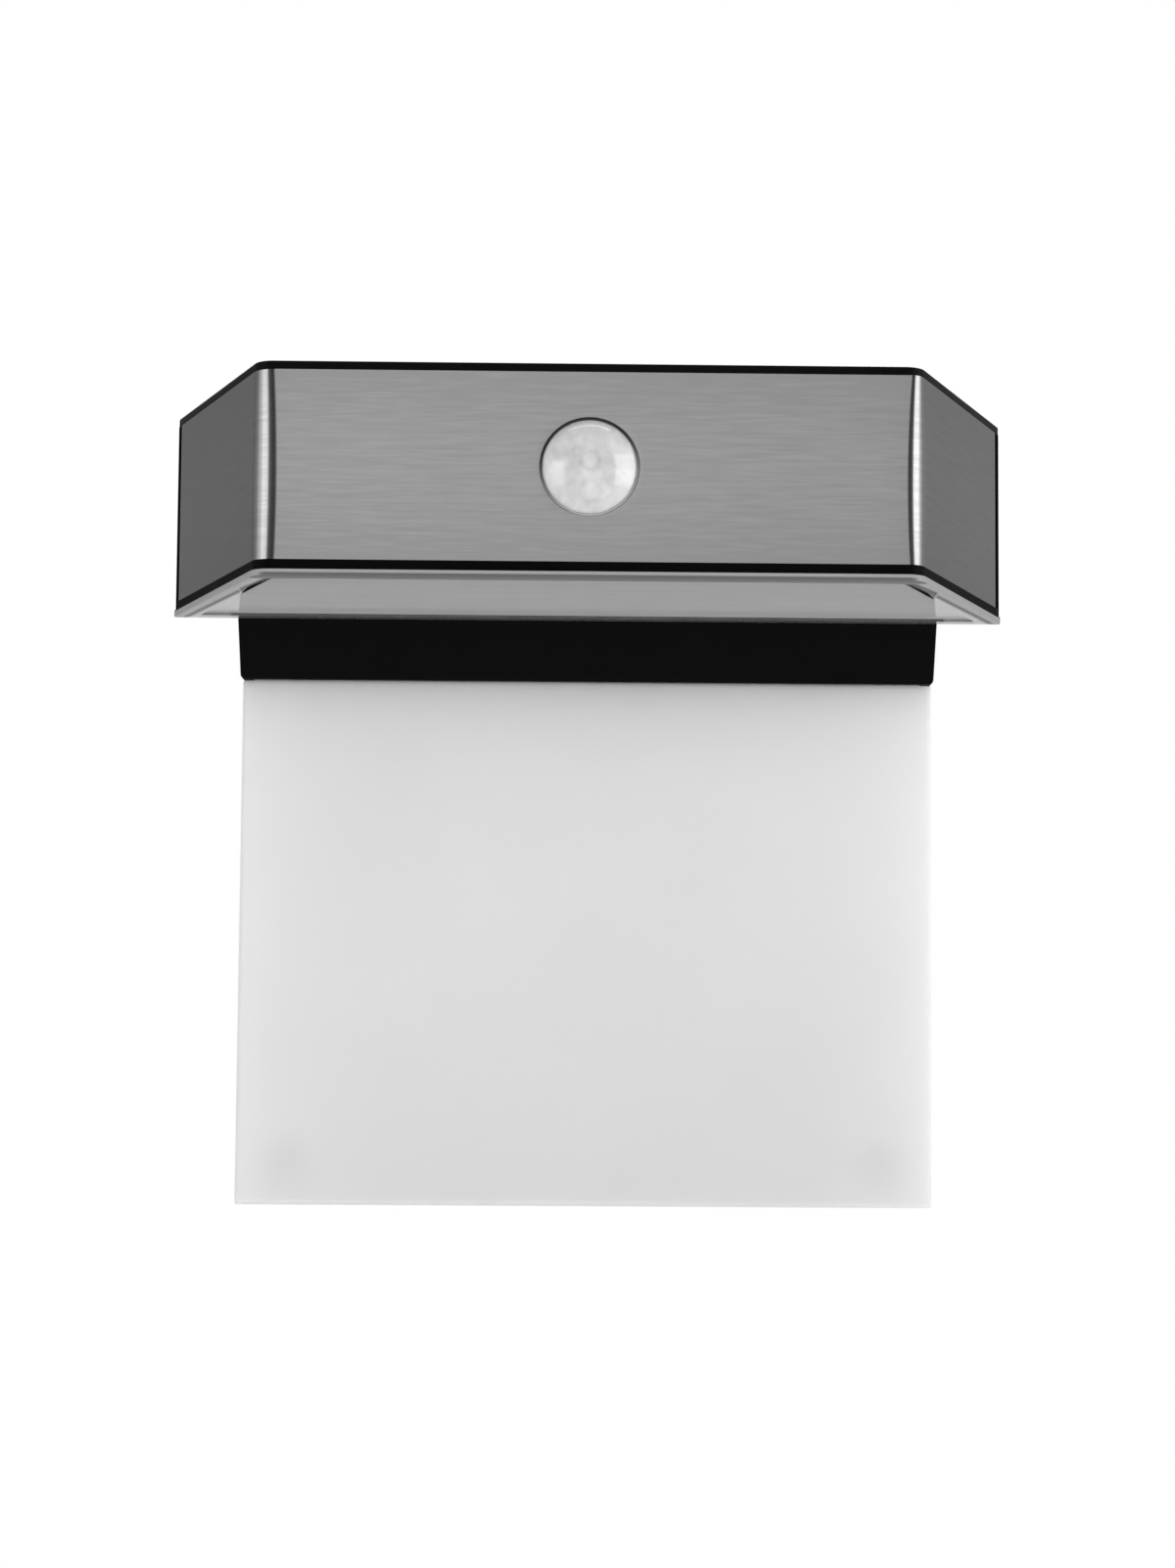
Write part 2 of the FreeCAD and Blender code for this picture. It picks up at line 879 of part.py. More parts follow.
def make_pir_sensor():
    """Metal can with a square dark window, on the board behind the lens."""
    top_y = carrier_back_y - sensor_can_height
    can = rod_y(sensor_can_radius, 0, lens_z, top_y, carrier_back_y)
    foot_y = carrier_back_y - sensor_flange_height
    foot = rod_y(sensor_flange_radius, 0, lens_z, foot_y, carrier_back_y)
    window = block(
        -sensor_window_width / 2,
        sensor_window_width / 2,
        top_y - overrun,
        top_y + sensor_window_depth,
        lens_z - sensor_window_height / 2,
        lens_z + sensor_window_height / 2,
    )
    return joined([can, foot]).cut(window)


def make_battery_holder():
    """Open box behind the cover that takes two cells side by side."""
    left = holder_left_x
    right = holder_right_x
    floor_y = holder_front_y + holder_wall
    outer = block(
        left, right, holder_front_y, holder_back_y, -holder_half_height, holder_half_height
    )
    inner = block(
        left + holder_wall,
        right - holder_wall,
        floor_y,
        holder_back_y + overrun,
        -holder_half_height + holder_wall,
        holder_half_height - holder_wall,
    )
    rib_half = cell_pitch / 2 - cell_radius - seat_gap
    rib = block(
        left + holder_wall, right - holder_wall, floor_y, battery_cell_y, -rib_half, rib_half
    )
    return joined([outer.cut(inner), rib])


def cell_signs():
    """The two cells lie head to tail: the upper one's pip points right."""
    return [(cell_pitch / 2, 1), (-cell_pitch / 2, -1)]


def make_battery_cells():
    y = battery_cell_y
    cells = []
    for z, sign in cell_signs():
        start = battery_centre_x - cell_length / 2
        body = rod_x(cell_radius, y, z, start, start + cell_length - cell_pip_length)
        pip = rod_x(
            cell_pip_radius, y, z, start + cell_length - cell_pip_length, start + cell_length
        )
        cell = body.fuse(pip)
        if sign < 0:
            cell.rotate(Vector(battery_centre_x, y, z), Vector(0, 0, 1), 180)
        cells.append(cell)
    return side_by_side(cells)


def make_battery_contacts():
    """Flat plates at the pips and tapered springs at the flat ends of the cells."""
    y = battery_cell_y
    inner = battery_opening_width / 2
    pieces = []
    for z, sign in cell_signs():
        for side in (-1, 1):
            wall_x = battery_centre_x + side * inner
            plate_x = wall_x - side * contact_thickness
            plate = block(
                min(wall_x, plate_x),
                max(wall_x, plate_x),
                y - contact_side / 2,
                y + contact_side / 2,
                z - contact_side / 2,
                z + contact_side / 2,
            )
            room = inner - contact_thickness - cell_length / 2
            reach = room - seat_gap
            if side == sign:
                touch = rod_x(cell_pip_radius, y, z, 0, reach)
                touch.translate(Vector(plate_x - (reach if side > 0 else 0), 0, 0))
            else:
                touch = Part.makeCone(
                    contact_spring_radius,
                    cell_pip_radius,
                    reach,
                    Vector(plate_x, y, z),
                    Vector(-side, 0, 0),
                )
            pieces.append(plate.fuse(touch).removeSplitter())
    return side_by_side(pieces)


def cover_plan(inset):
    half_x = cover_width / 2 - inset
    half_z = cover_height / 2 - inset
    return rectangle(
        battery_centre_x - half_x,
        -half_z,
        battery_centre_x + half_x,
        half_z,
        cover_corner_radius,
    )


def make_battery_seal():
    """Soft ring between the battery cover and the head's back wall."""
    outer = through_depth(cover_plan(seat_gap), head_back_y, cover_y)
    window = through_depth(
        rectangle(
            battery_centre_x - battery_opening_width / 2,
            -battery_opening_height / 2,
            battery_centre_x + battery_opening_width / 2,
            battery_opening_height / 2,
            seal_width,
        ),
        head_back_y - overrun,
        cover_y + overrun,
    )
    holes = [
        rod_y(screw_radius + slide_gap, x, 0, head_back_y - overrun, cover_y + overrun)
        for x in cover_screw_places()
    ]
    return outer.cut(side_by_side([window] + holes))


def make_battery_cover():
    plate = through_depth(cover_plan(0), cover_y, cover_y + cover_thickness)
    sink_y = cover_y + cover_thickness - screw_head_height
    cuts = []
    for x in cover_screw_places():
        cuts.append(rod_y(screw_radius + thread_gap, x, 0, cover_y - overrun, sink_y + overrun))
        cuts.append(
            rod_y(screw_head_radius + seat_gap, x, 0, sink_y, cover_y + cover_thickness + overrun)
        )
    return plate.cut(side_by_side(cuts))


def make_cover_screws():
    seat_y = cover_y + cover_thickness - screw_head_height
    length = seat_y - rear_inner_y - seat_gap
    return side_by_side(
        [screw(Vector(x, seat_y, 0), Vector(0, -1, 0), length) for x in cover_screw_places()]
    )


def make_control_board():
    """Circuit board on three posts behind the back wall, with the mode switch on it."""
    half_z = control_board_height / 2
    plate = through_depth(
        rectangle(
            board_left_x,
            button_z - half_z,
            board_right_x,
            button_z + half_z,
            tub_corner_radius,
        ),
        board_front_y,
        board_back_y,
    )
    holes = [
        rod_y(
            screw_radius + thread_gap,
            x,
            z,
            board_front_y - overrun,
            board_back_y + overrun,
        )
        for x, z in control_post_places()
    ]
    return plate.cut(side_by_side(holes))


def make_board_parts():
    """Chip, coil, two capacitors and two plugs on the front of the control board."""
    width = control_board_width
    height = control_board_height
    # Each entry is the place across and up the board, the width, height and depth, all as
    # shares of the board's width, height and post height.
    box_shares = [
        (0.02, 0.05, 0.19, 0.3, 0.11),
        (-0.3, 0.02, 0.15, 0.24, 0.33),
        (0.3, -0.28, 0.2, 0.16, 0.38),
        (-0.08, -0.36, 0.2, 0.14, 0.38),
    ]
    can_shares = [(0.24, 0.12, 0.075, 0.6), (-0.14, 0.3, 0.06, 0.5)]
    pieces = []
    for across_share, up_share, wide_share, high_share, deep_share in box_shares:
        x = control_board_centre_x + across_share * width
        z = button_z + up_share * height
        half_x = wide_share * width / 2
        half_z = high_share * height / 2
        depth = deep_share * control_post_height
        front_y = board_front_y - depth
        pieces.append(block(x - half_x, x + half_x, front_y, board_front_y, z - half_z, z + half_z))
    for across_share, up_share, radius_share, deep_share in can_shares:
        x = control_board_centre_x + across_share * width
        z = button_z + up_share * height
        depth = deep_share * control_post_height
        pieces.append(rod_y(radius_share * width, x, z, board_front_y - depth, board_front_y))
    return side_by_side(pieces)


def make_board_screws():
    return side_by_side(
        [
            screw(Vector(x, board_front_y, z), Vector(0, 1, 0), screw_length)
            for x, z in control_post_places()
        ]
    )


def make_mode_switch():
    half = switch_side / 2
    body = block(
        button_x - half,
        button_x + half,
        board_back_y,
        switch_top_y,
        button_z - half,
        button_z + half,
    )
    bore = rod_y(
        plunger_radius + plunger_bore_gap,
        button_x,
        button_z,
        switch_top_y - plunger_bore_depth,
        switch_top_y + overrun,
    )
    return body.cut(bore)


def make_switch_plunger():
    return rod_y(
        plunger_radius, button_x, button_z, stem_end_y - plunger_length, stem_end_y
    )


def make_mode_button():
    """Push button that stands out of the back wall, kept in by a flange behind it."""
    outer_y = head_back_y + button_rise
    flange_top_y = rear_inner_y - slide_gap
    flange_y = flange_top_y - button_flange_thickness
    cap = rod_y(button_radius, button_x, button_z, flange_y, outer_y)
    rims = [edge for edge in cap.Edges if edge.BoundBox.YMin > outer_y - button_round]
    cap = cap.makeFillet(button_round, rims)
    flange = rod_y(button_flange_radius, button_x, button_z, flange_y, flange_top_y)
    stem = rod_y(button_stem_radius, button_x, button_z, stem_end_y, flange_y)
    return joined([cap, flange, stem])


def bracket_arm(x0):
    """One arm of the wall bracket, reaching into the head's pocket."""
    front_y = -bracket_thickness
    taper_y = head_back_y + arm_taper_start
    low = axis_z - arm_half_height
    high = axis_z + arm_half_height
    profile = [
        (front_y + overrun, low, 0),
        (axis_y, low, 0),
        (axis_y, high, 0),
        (taper_y, high, 0),
        (front_y, axis_z + arm_root_height, 0),
        (front_y + overrun, axis_z + arm_root_height, 0),
    ]
    nose = rod_x(arm_half_height, axis_y, axis_z, x0, x0 + arm_thickness)
    return joined([across(profile, x0, x0 + arm_thickness), nose])


def make_wall_bracket():
    """Plate on the wall with two arms for the tilt bolt and holes for all its screws."""
    plate = through_depth(
        rectangle(
            -bracket_half_width,
            bracket_bottom,
            bracket_half_width,
            bracket_top,
            bracket_corner_radius,
        ),
        -bracket_thickness,
        0,
    )
    body = joined([plate, bracket_arm(arm_inner_x), bracket_arm(-arm_outer_x)])
    cuts = [
        rod_x(
            tilt_bolt_radius + thread_gap,
            axis_y,
            axis_z,
            -arm_outer_x - overrun,
            arm_outer_x + overrun,
        )
    ]
    for x in (-wall_screw_side, wall_screw_side):
        cuts.append(rod_y(wall_screw_hole_radius, x, 0, -bracket_thickness - overrun, overrun))
        cuts.append(
            Part.makeCone(
                wall_screw_sink_radius,
                wall_screw_hole_radius,
                wall_screw_sink_depth,
                Vector(x, -bracket_thickness, 0),
                Vector(0, 1, 0),
            )
        )
    for x in (-holder_screw_side, holder_screw_side):
        seat_y = -screw_head_height - seat_gap
        front_y = -bracket_thickness - overrun
        cuts.append(rod_y(screw_radius + thread_gap, x, holder_screw_z, front_y, overrun))
        cuts.append(rod_y(screw_head_radius + seat_gap, x, holder_screw_z, seat_y, overrun))
    return body.cut(side_by_side(cuts))


def make_holder_screws():
    """Screws from behind the wall bracket into the panel holder."""
    seat_y = -screw_head_height - seat_gap
    return side_by_side(
        [
            screw(Vector(x, seat_y, holder_screw_z), Vector(0, -1, 0), holder_screw_length)
            for x in (-holder_screw_side, holder_screw_side)
        ]
    )


def make_tilt_bolt():
    """Bolt through both arms and the head's knuckle, with a hexagon socket in its head."""
    shank = rod_x(tilt_bolt_radius, axis_y, axis_z, -arm_outer_x - tilt_nut_height, arm_outer_x)
    head = rod_x(tilt_head_radius, axis_y, axis_z, arm_outer_x, arm_outer_x + tilt_head_height)
    socket = across(
        hexagon(tilt_socket_radius),
        arm_outer_x + tilt_head_height - tilt_socket_depth,
        arm_outer_x + tilt_head_height + overrun,
    )
    return shank.fuse(head).cut(socket).removeSplitter()


def hexagon(half_width):
    """Corners of a hexagon round the tilt axis, given half its width across flats."""
    reach = half_width / cos(radians(30))
    return [
        (axis_y + reach * cos(radians(60 * turn)), axis_z + reach * sin(radians(60 * turn)), 0)
        for turn in range(6)
    ]


def make_tilt_nut():
    nut = across(hexagon(tilt_nut_half_width), -arm_outer_x - tilt_nut_height, -arm_outer_x)
    bore = rod_x(
        tilt_bolt_radius + thread_gap,
        axis_y,
        axis_z,
        -arm_outer_x - tilt_nut_height - overrun,
        -arm_outer_x + overrun,
    )
    return nut.cut(bore)


def make_friction_washers():
    """A washer each side of the knuckle, which holds the head at the angle it is set to."""
    washers = []
    near = knuckle_half_width + washer_gap
    far = near + washer_thickness
    for x0, x1 in ((near, far), (-far, -near)):
        ring = rod_x(washer_radius, axis_y, axis_z, x0, x1)
        bore_radius = tilt_bolt_radius + thread_gap
        washers.append(ring.cut(rod_x(bore_radius, axis_y, axis_z, x0 - overrun, x1 + overrun)))
    return side_by_side(washers)


def bar_front_at(z):
    """Depth of the bar's sloping front face at height z."""
    share = (z - bar_bottom) / (bar_top - bar_bottom)
    return bar_bottom_front + share * (bar_top_front - bar_bottom_front)


def bar_pockets():
    """Hollows behind the bar's front, between its ends and the two screw bosses."""
    roof_z = bar_top - bar_wall
    floor_z = roof_z - bar_pocket_height
    profile = [
        (bar_front_at(roof_z) + bar_wall, roof_z, 0),
        (overrun, roof_z, 0),
        (overrun, floor_z, 0),
        (bar_front_at(floor_z) + bar_wall, floor_z, 0),
    ]
    end_x = channel_half_width
    outer_x = holder_screw_side + boss_half_width
    inner_x = holder_screw_side - boss_half_width
    ranges = [(-end_x, -outer_x), (-inner_x, inner_x), (outer_x, end_x)]
    return [across(profile, x0, x1) for x0, x1 in ranges]


def clamp_screw_places():
    first = -(clamp_screw_count - 1) / 2 * clamp_screw_pitch
    return [first + index * clamp_screw_pitch for index in range(clamp_screw_count)]


def make_panel_holder():
    """Black bar whose face slopes back and down to the frosted plate held in its channel."""
    profile = [
        (bar_top_front, bar_top, bar_edge_radius),
        (0, bar_top, 0),
        (0, bar_bottom, 0),
        (bar_bottom_front, bar_bottom, bar_edge_radius),
    ]
    face = [
        (-bar_width / 2, bar_bottom, bar_corner_radius),
        (bar_width / 2, bar_bottom, bar_corner_radius),
        (bar_width / 2, bar_top, 0),
        (-bar_width / 2, bar_top, 0),
    ]
    bar = across(profile, -bar_width / 2, bar_width / 2)
    bar = bar.common(through_depth(face, bar_top_front, 0))
    half = channel_half_width
    cuts = bar_pockets()
    cuts.append(
        block(-half, half, panel_front_y - seat_gap, overrun, bar_bottom - overrun, channel_roof)
    )
    cuts.append(
        block(
            -bracket_half_width - slide_gap,
            bracket_half_width + slide_gap,
            -bracket_thickness - seat_gap,
            overrun,
            channel_roof,
            bar_top + overrun,
        )
    )
    for x in (-holder_screw_side, holder_screw_side):
        depth = screw_head_height + holder_screw_length + slide_gap
        cuts.append(rod_y(pilot_radius(), x, holder_screw_z, -depth, overrun))
    for x in clamp_screw_places():
        depth = clamp_head_height + clamp_screw_length + 2 * seat_gap
        cuts.append(rod_y(pilot_radius(), x, clamp_screw_z, -depth, 0))
    return bar.cut(side_by_side(cuts)).removeSplitter()


def make_light_panel():
    """Frosted plate with bevelled front edges and a narrower tenon up into the bar."""
    half = panel_width / 2
    top = bar_bottom - panel_gap
    bevel_y = panel_front_y + panel_edge_bevel
    slab = through_depth(rectangle(-half, panel_bottom, half, top), bevel_y, panel_back_y)
    inner = rectangle(
        -half + panel_edge_bevel, panel_bottom + panel_edge_bevel, half - panel_edge_bevel, top
    )
    face = Part.makeLoft(
        [
            outline(rectangle(-half, panel_bottom, half, top), in_front(bevel_y)),
            outline(inner, in_front(panel_front_y)),
        ],
        True,
        True,
    )
    tenon_half = channel_half_width - tenon_side_gap
    tenon = block(-tenon_half, tenon_half, panel_front_y, panel_back_y, top, tenon_top_z)
    holes = [
        rod_y(
            screw_radius + clamp_screw_bore_gap,
            x,
            clamp_screw_z,
            panel_front_y - overrun,
            panel_back_y + overrun,
        )
        for x in clamp_screw_places()
    ]
    return joined([slab, face, tenon]).cut(side_by_side(holes))


def make_panel_clamp():
    """Strip that closes the back of the channel and presses the plate forward."""
    half = channel_half_width - slide_gap
    strip = block(
        -half, half, panel_back_y + seat_gap, 0, bar_bottom, channel_roof - slide_gap
    )
    cuts = []
    seat_y = -clamp_head_height - seat_gap
    for x in clamp_screw_places():
        cuts.append(rod_y(screw_radius + thread_gap, x, clamp_screw_z, panel_back_y, overrun))
        cuts.append(rod_y(screw_head_radius + seat_gap, x, clamp_screw_z, seat_y, overrun))
    return strip.cut(side_by_side(cuts))


def make_clamp_screws():
    seat_y = -clamp_head_height - seat_gap
    return side_by_side(
        [
            screw(
                Vector(x, seat_y, clamp_screw_z),
                Vector(0, -1, 0),
                clamp_screw_length,
                clamp_head_height,
            )
            for x in clamp_screw_places()
        ]
    )


def make_edge_board():
    half = channel_half_width - slide_gap
    return block(
        -half,
        half,
        panel_front_y,
        panel_back_y,
        edge_board_z,
        edge_board_z + board_thickness,
    )


def make_edge_leds():
    """Row of lights over the frosted plate's top edge, which carries their light down."""
    first = -(edge_led_count - 1) / 2 * edge_led_pitch
    middle_y = (panel_front_y + panel_back_y) / 2
    return side_by_side(
        [
            block(
                first + index * edge_led_pitch - edge_led_width / 2,
                first + index * edge_led_pitch + edge_led_width / 2,
                middle_y - edge_led_depth / 2,
                middle_y + edge_led_depth / 2,
                edge_led_z,
                edge_board_z,
            )
            for index in range(edge_led_count)
        ]
    )


def make_wall_pads():
    """Soft pads that keep the frosted plate's lower corners off the wall."""
    z = panel_bottom + pad_rise
    return side_by_side([rod_y(pad_radius, x, z, panel_back_y, 0) for x in (-pad_side, pad_side)])


makers = {
    "wall_bracket": make_wall_bracket,
    "panel_holder": make_panel_holder,
    "light_panel": make_light_panel,
    "panel_clamp": make_panel_clamp,
    "clamp_screws": make_clamp_screws,
    "edge_led_board": make_edge_board,
    "edge_leds": make_edge_leds,
    "holder_screws": make_holder_screws,
    "wall_pads": make_wall_pads,
    "tilt_bolt": make_tilt_bolt,
    "tilt_nut": make_tilt_nut,
    "friction_washers": make_friction_washers,
    "chassis": make_chassis,
    "steel_shroud": make_steel_shroud,
    "top_frame": make_top_frame,
    "frame_screws": make_frame_screws,
    "glass_gasket": make_glass_gasket,
    "solar_glass": make_solar_glass,
    "solar_cells": make_solar_cells,
    "solar_backing": make_solar_backing,
    "base_plate": make_base_plate,
    "base_seal": make_base_seal,
    "reflector_tray": make_reflector_tray,
    "downlight_board": make_downlight_board,
    "downlight_leds": make_downlights,
    "pir_lens": make_pir_lens,
    "lens_retainer": make_lens_retainer,
    "sensor_carrier": make_sensor_carrier,
    "carrier_screws": make_carrier_screws,
    "sensor_board": make_sensor_board,
    "pir_sensor": make_pir_sensor,
    "battery_holder": make_battery_holder,
    "battery_cells": make_battery_cells,
    "battery_contacts": make_battery_contacts,
    "battery_seal": make_battery_seal,
    "battery_cover": make_battery_cover,
    "battery_cover_screws": make_cover_screws,
    "control_board": make_control_board,
    "board_components": make_board_parts,
    "board_screws": make_board_screws,
    "mode_switch": make_mode_switch,
    "switch_plunger": make_switch_plunger,
    "mode_button": make_mode_button,
}

os.makedirs("parts", exist_ok=True)
for name, make in makers.items():
    shape = make()
    shape.exportStep(f"parts/{name}.step")
    print(name, len(shape.Solids), round(shape.Volume, 1), shape.isValid())
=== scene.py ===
import math

import bmesh
import bpy
import numpy as np
from mathutils import Matrix, Vector


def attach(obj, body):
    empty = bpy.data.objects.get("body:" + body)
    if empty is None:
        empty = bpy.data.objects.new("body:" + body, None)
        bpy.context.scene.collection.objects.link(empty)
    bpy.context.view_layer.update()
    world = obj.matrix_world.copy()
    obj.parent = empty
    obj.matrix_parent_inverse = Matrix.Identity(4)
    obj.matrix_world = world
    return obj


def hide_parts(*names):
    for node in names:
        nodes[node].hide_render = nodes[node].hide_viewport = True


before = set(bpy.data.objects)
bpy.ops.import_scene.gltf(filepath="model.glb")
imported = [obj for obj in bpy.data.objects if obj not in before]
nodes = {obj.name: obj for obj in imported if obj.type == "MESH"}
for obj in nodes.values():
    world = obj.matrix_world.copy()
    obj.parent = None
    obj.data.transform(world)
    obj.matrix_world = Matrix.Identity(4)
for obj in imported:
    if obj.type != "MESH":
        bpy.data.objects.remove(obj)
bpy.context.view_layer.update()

# Camera, standing a little under the light and tipped up to it.
# Its place, lens, tilt and small shift were fitted to the photo's edges.
photo_width = 1200
photo_height = 1602
focal_pixels = 3500
axis_pixels_right = 60
sensor_size = 36.0
camera_place = Vector((-0.000719, -0.819572, -0.136301))
camera_right = Vector((0.999803, -0.018884, 0.006189))
camera_up = Vector((-0.007916, -0.092769, 0.995656))

long_side = max(photo_width, photo_height)
camera_data = bpy.data.cameras.new("camera")
camera_data.sensor_fit = "AUTO"
camera_data.sensor_width = sensor_size
camera_data.lens = sensor_size * focal_pixels / long_side
camera_data.shift_x = -axis_pixels_right / long_side
camera_data.clip_start = 0.01
camera_data.clip_end = 50.0
camera = bpy.data.objects.new("camera", camera_data)
camera_back = camera_right.cross(camera_up).normalized()
camera_up = camera_back.cross(camera_right)
camera_turn = Matrix((camera_right, camera_up, camera_back)).transposed()
camera.matrix_world = Matrix.Translation(camera_place) @ camera_turn.to_4x4()
bpy.context.scene.collection.objects.link(camera)
bpy.context.scene.camera = camera
bpy.context.scene.view_settings.view_transform = "Standard"


# Studio: a soft lamp on each side with a weaker wing behind it, one lamp above, one behind and
# one by the camera, and gloss doesn't see the last two. The world is white to the eye. Gloss
# sees it darker in places, as between the flags of a studio, and as a light it is dimmer.
def add_node(tree, kind, sockets=None, **settings):
    """A shader node with its settings, and each socket set to a value or linked."""
    made = tree.nodes.new(kind)
    for name, value in settings.items():
        setattr(made, name, value)
    for key, value in (sockets or {}).items():
        if isinstance(value, bpy.types.NodeSocket):
            tree.links.new(value, made.inputs[key])
        else:
            made.inputs[key].default_value = value
    return made


def maths(tree, operation, first, second=0.0):
    """One arithmetic node's result."""
    return add_node(tree, "ShaderNodeMath", {0: first, 1: second}, operation=operation).outputs[0]


def times(tree, first, second):
    return maths(tree, "MULTIPLY", first, second)


def scaled(tree, value, factor, added):
    """Value times factor, plus added."""
    return maths(tree, "ADD", times(tree, value, factor), added)


def parts_of(tree, vector):
    """A vector's numbers, by the names X, Y and Z."""
    return add_node(tree, "ShaderNodeSeparateXYZ", {0: vector}).outputs


def spread(tree, value, low, high, start=0.0, end=1.0):
    """Value from start to end mapped to between low and high, each a number or a socket."""
    limits = {"From Min": start, "From Max": end, "To Min": low, "To Max": high}
    return add_node(tree, "ShaderNodeMapRange", {"Value": value, **limits}).outputs[0]


def smooth_step(tree, value, low, high):
    """0 before low, 1 past high and a soft step between them. High may be the lesser number."""
    return add_node(
        tree,
        "ShaderNodeMapRange",
        {"Value": value, "From Min": low, "From Max": high},
        interpolation_type="SMOOTHSTEP",
    ).outputs[0]


ambient_light = 0.35
# What gloss sees of the world: headings in degrees, 0 at the camera's side and plus to the
# right, and the level there. Steep views, up or down, see one level instead.
mirrored_levels = [
    (-180, 0.85), (-165, 0.8), (-150, 0.23), (-125, 0.27), (-112, 0.36), (-104, 0.45), (-96, 0.6),
    (-88, 0.85), (-75, 1.0), (-60, 1.0), (-46, 0.6), (-36, 0.12), (-25, 0.03), (-15, 0.03),
    (-10, 1.0), (-5, 1.0), (0, 0.935), (5, 0.87), (10, 0.84), (15, 0.05), (27, 0.04), (38, 0.12),
    (47, 0.6), (60, 1.0), (101, 1.0), (110, 0.85), (121, 0.7), (135, 0.41), (144, 0.31),
    (150, 0.29), (165, 0.8), (180, 0.85),
]
steep_start = 0.45
steep_end = 0.85
steep_level = 0.9
# Each lamp's place, width and height in metres, brightness, and whether gloss sees it.
lamp_plan = {
    "left_lamp": ((-1.148, -0.749, -0.09), (0.63, 0.98), 1.6, True),
    "left_wing": ((-1.334, -0.289, -0.09), (0.4, 0.98), 0.45, True),
    "right_lamp": ((1.261, -0.558, 0.06), (1.01, 1.26), 1.9, True),
    "right_wing": ((1.334, 0.111, 0.06), (0.43, 1.26), 0.5, True),
    "front_fill": ((0.0, -1.6, -0.25), (1.2, 0.9), 2.0, False),
    "top_lamp": ((0.0, 0.6, 1.4), (1.6, 1.6), 2.2, True),
    "back_lamp": ((0.0, 1.3, -0.1), (1.2, 1.0), 1.2, False),
}
lamp_aim = Vector((0.0, -0.05, -0.06))

world = bpy.data.worlds.new("studio")
bpy.context.scene.world = world
world.use_nodes = True
sky = world.node_tree
sky.nodes.clear()
towards = parts_of(sky, add_node(sky, "ShaderNodeTexCoord").outputs["Generated"])
heading = maths(sky, "ARCTAN2", towards["X"], times(sky, towards["Y"], -1.0))
round_share = maths(sky, "ADD", maths(sky, "DIVIDE", heading, 2.0 * math.pi), 0.5)
ring = add_node(sky, "ShaderNodeValToRGB", {0: round_share})
for degrees, level in mirrored_levels:
    position = degrees / 360.0 + 0.5
    if degrees in (mirrored_levels[0][0], mirrored_levels[-1][0]):
        stop = ring.color_ramp.elements[0 if degrees < 0 else -1]
        stop.position = position
    else:
        stop = ring.color_ramp.elements.new(position)
    stop.color = (level, level, level, 1.0)
steepness = maths(sky, "ABSOLUTE", towards["Z"])
steep = smooth_step(sky, steepness, steep_start, steep_end)
mirrored = spread(sky, steep, ring.outputs[0], steep_level)
seen_by = add_node(sky, "ShaderNodeLightPath")
direct = maths(
    sky, "MAXIMUM", seen_by.outputs["Is Camera Ray"], seen_by.outputs["Is Transmission Ray"]
)
indirect = spread(sky, seen_by.outputs["Is Glossy Ray"], ambient_light, mirrored)
glow = add_node(
    sky,
    "ShaderNodeBackground",
    {"Color": (1.0, 1.0, 1.0, 1.0), "Strength": spread(sky, direct, indirect, 1.0)},
)
add_node(sky, "ShaderNodeOutputWorld", {"Surface": glow.outputs[0]})

for lamp_name, (place, size, brightness, in_gloss) in lamp_plan.items():
    lamp_data = bpy.data.lights.new(lamp_name, "AREA")
    lamp_data.shape = "RECTANGLE"
    lamp_data.size, lamp_data.size_y = size
    lamp_data.energy = brightness * math.pi * size[0] * size[1]
    lamp = bpy.data.objects.new(lamp_name, lamp_data)
    lamp.location = place
    lamp.rotation_mode = "QUATERNION"
    lamp.rotation_quaternion = (Vector(place) - lamp_aim).to_track_quat("Z", "Y")
    lamp.visible_camera = False
    lamp.visible_glossy = in_gloss
    bpy.context.scene.collection.objects.link(lamp)


# Floor: a plain pale disc well under the light, which the camera's own view doesn't reach.
# To the eye it fades into the white round it.
mm = 0.001
join_distance = 0.002 * mm


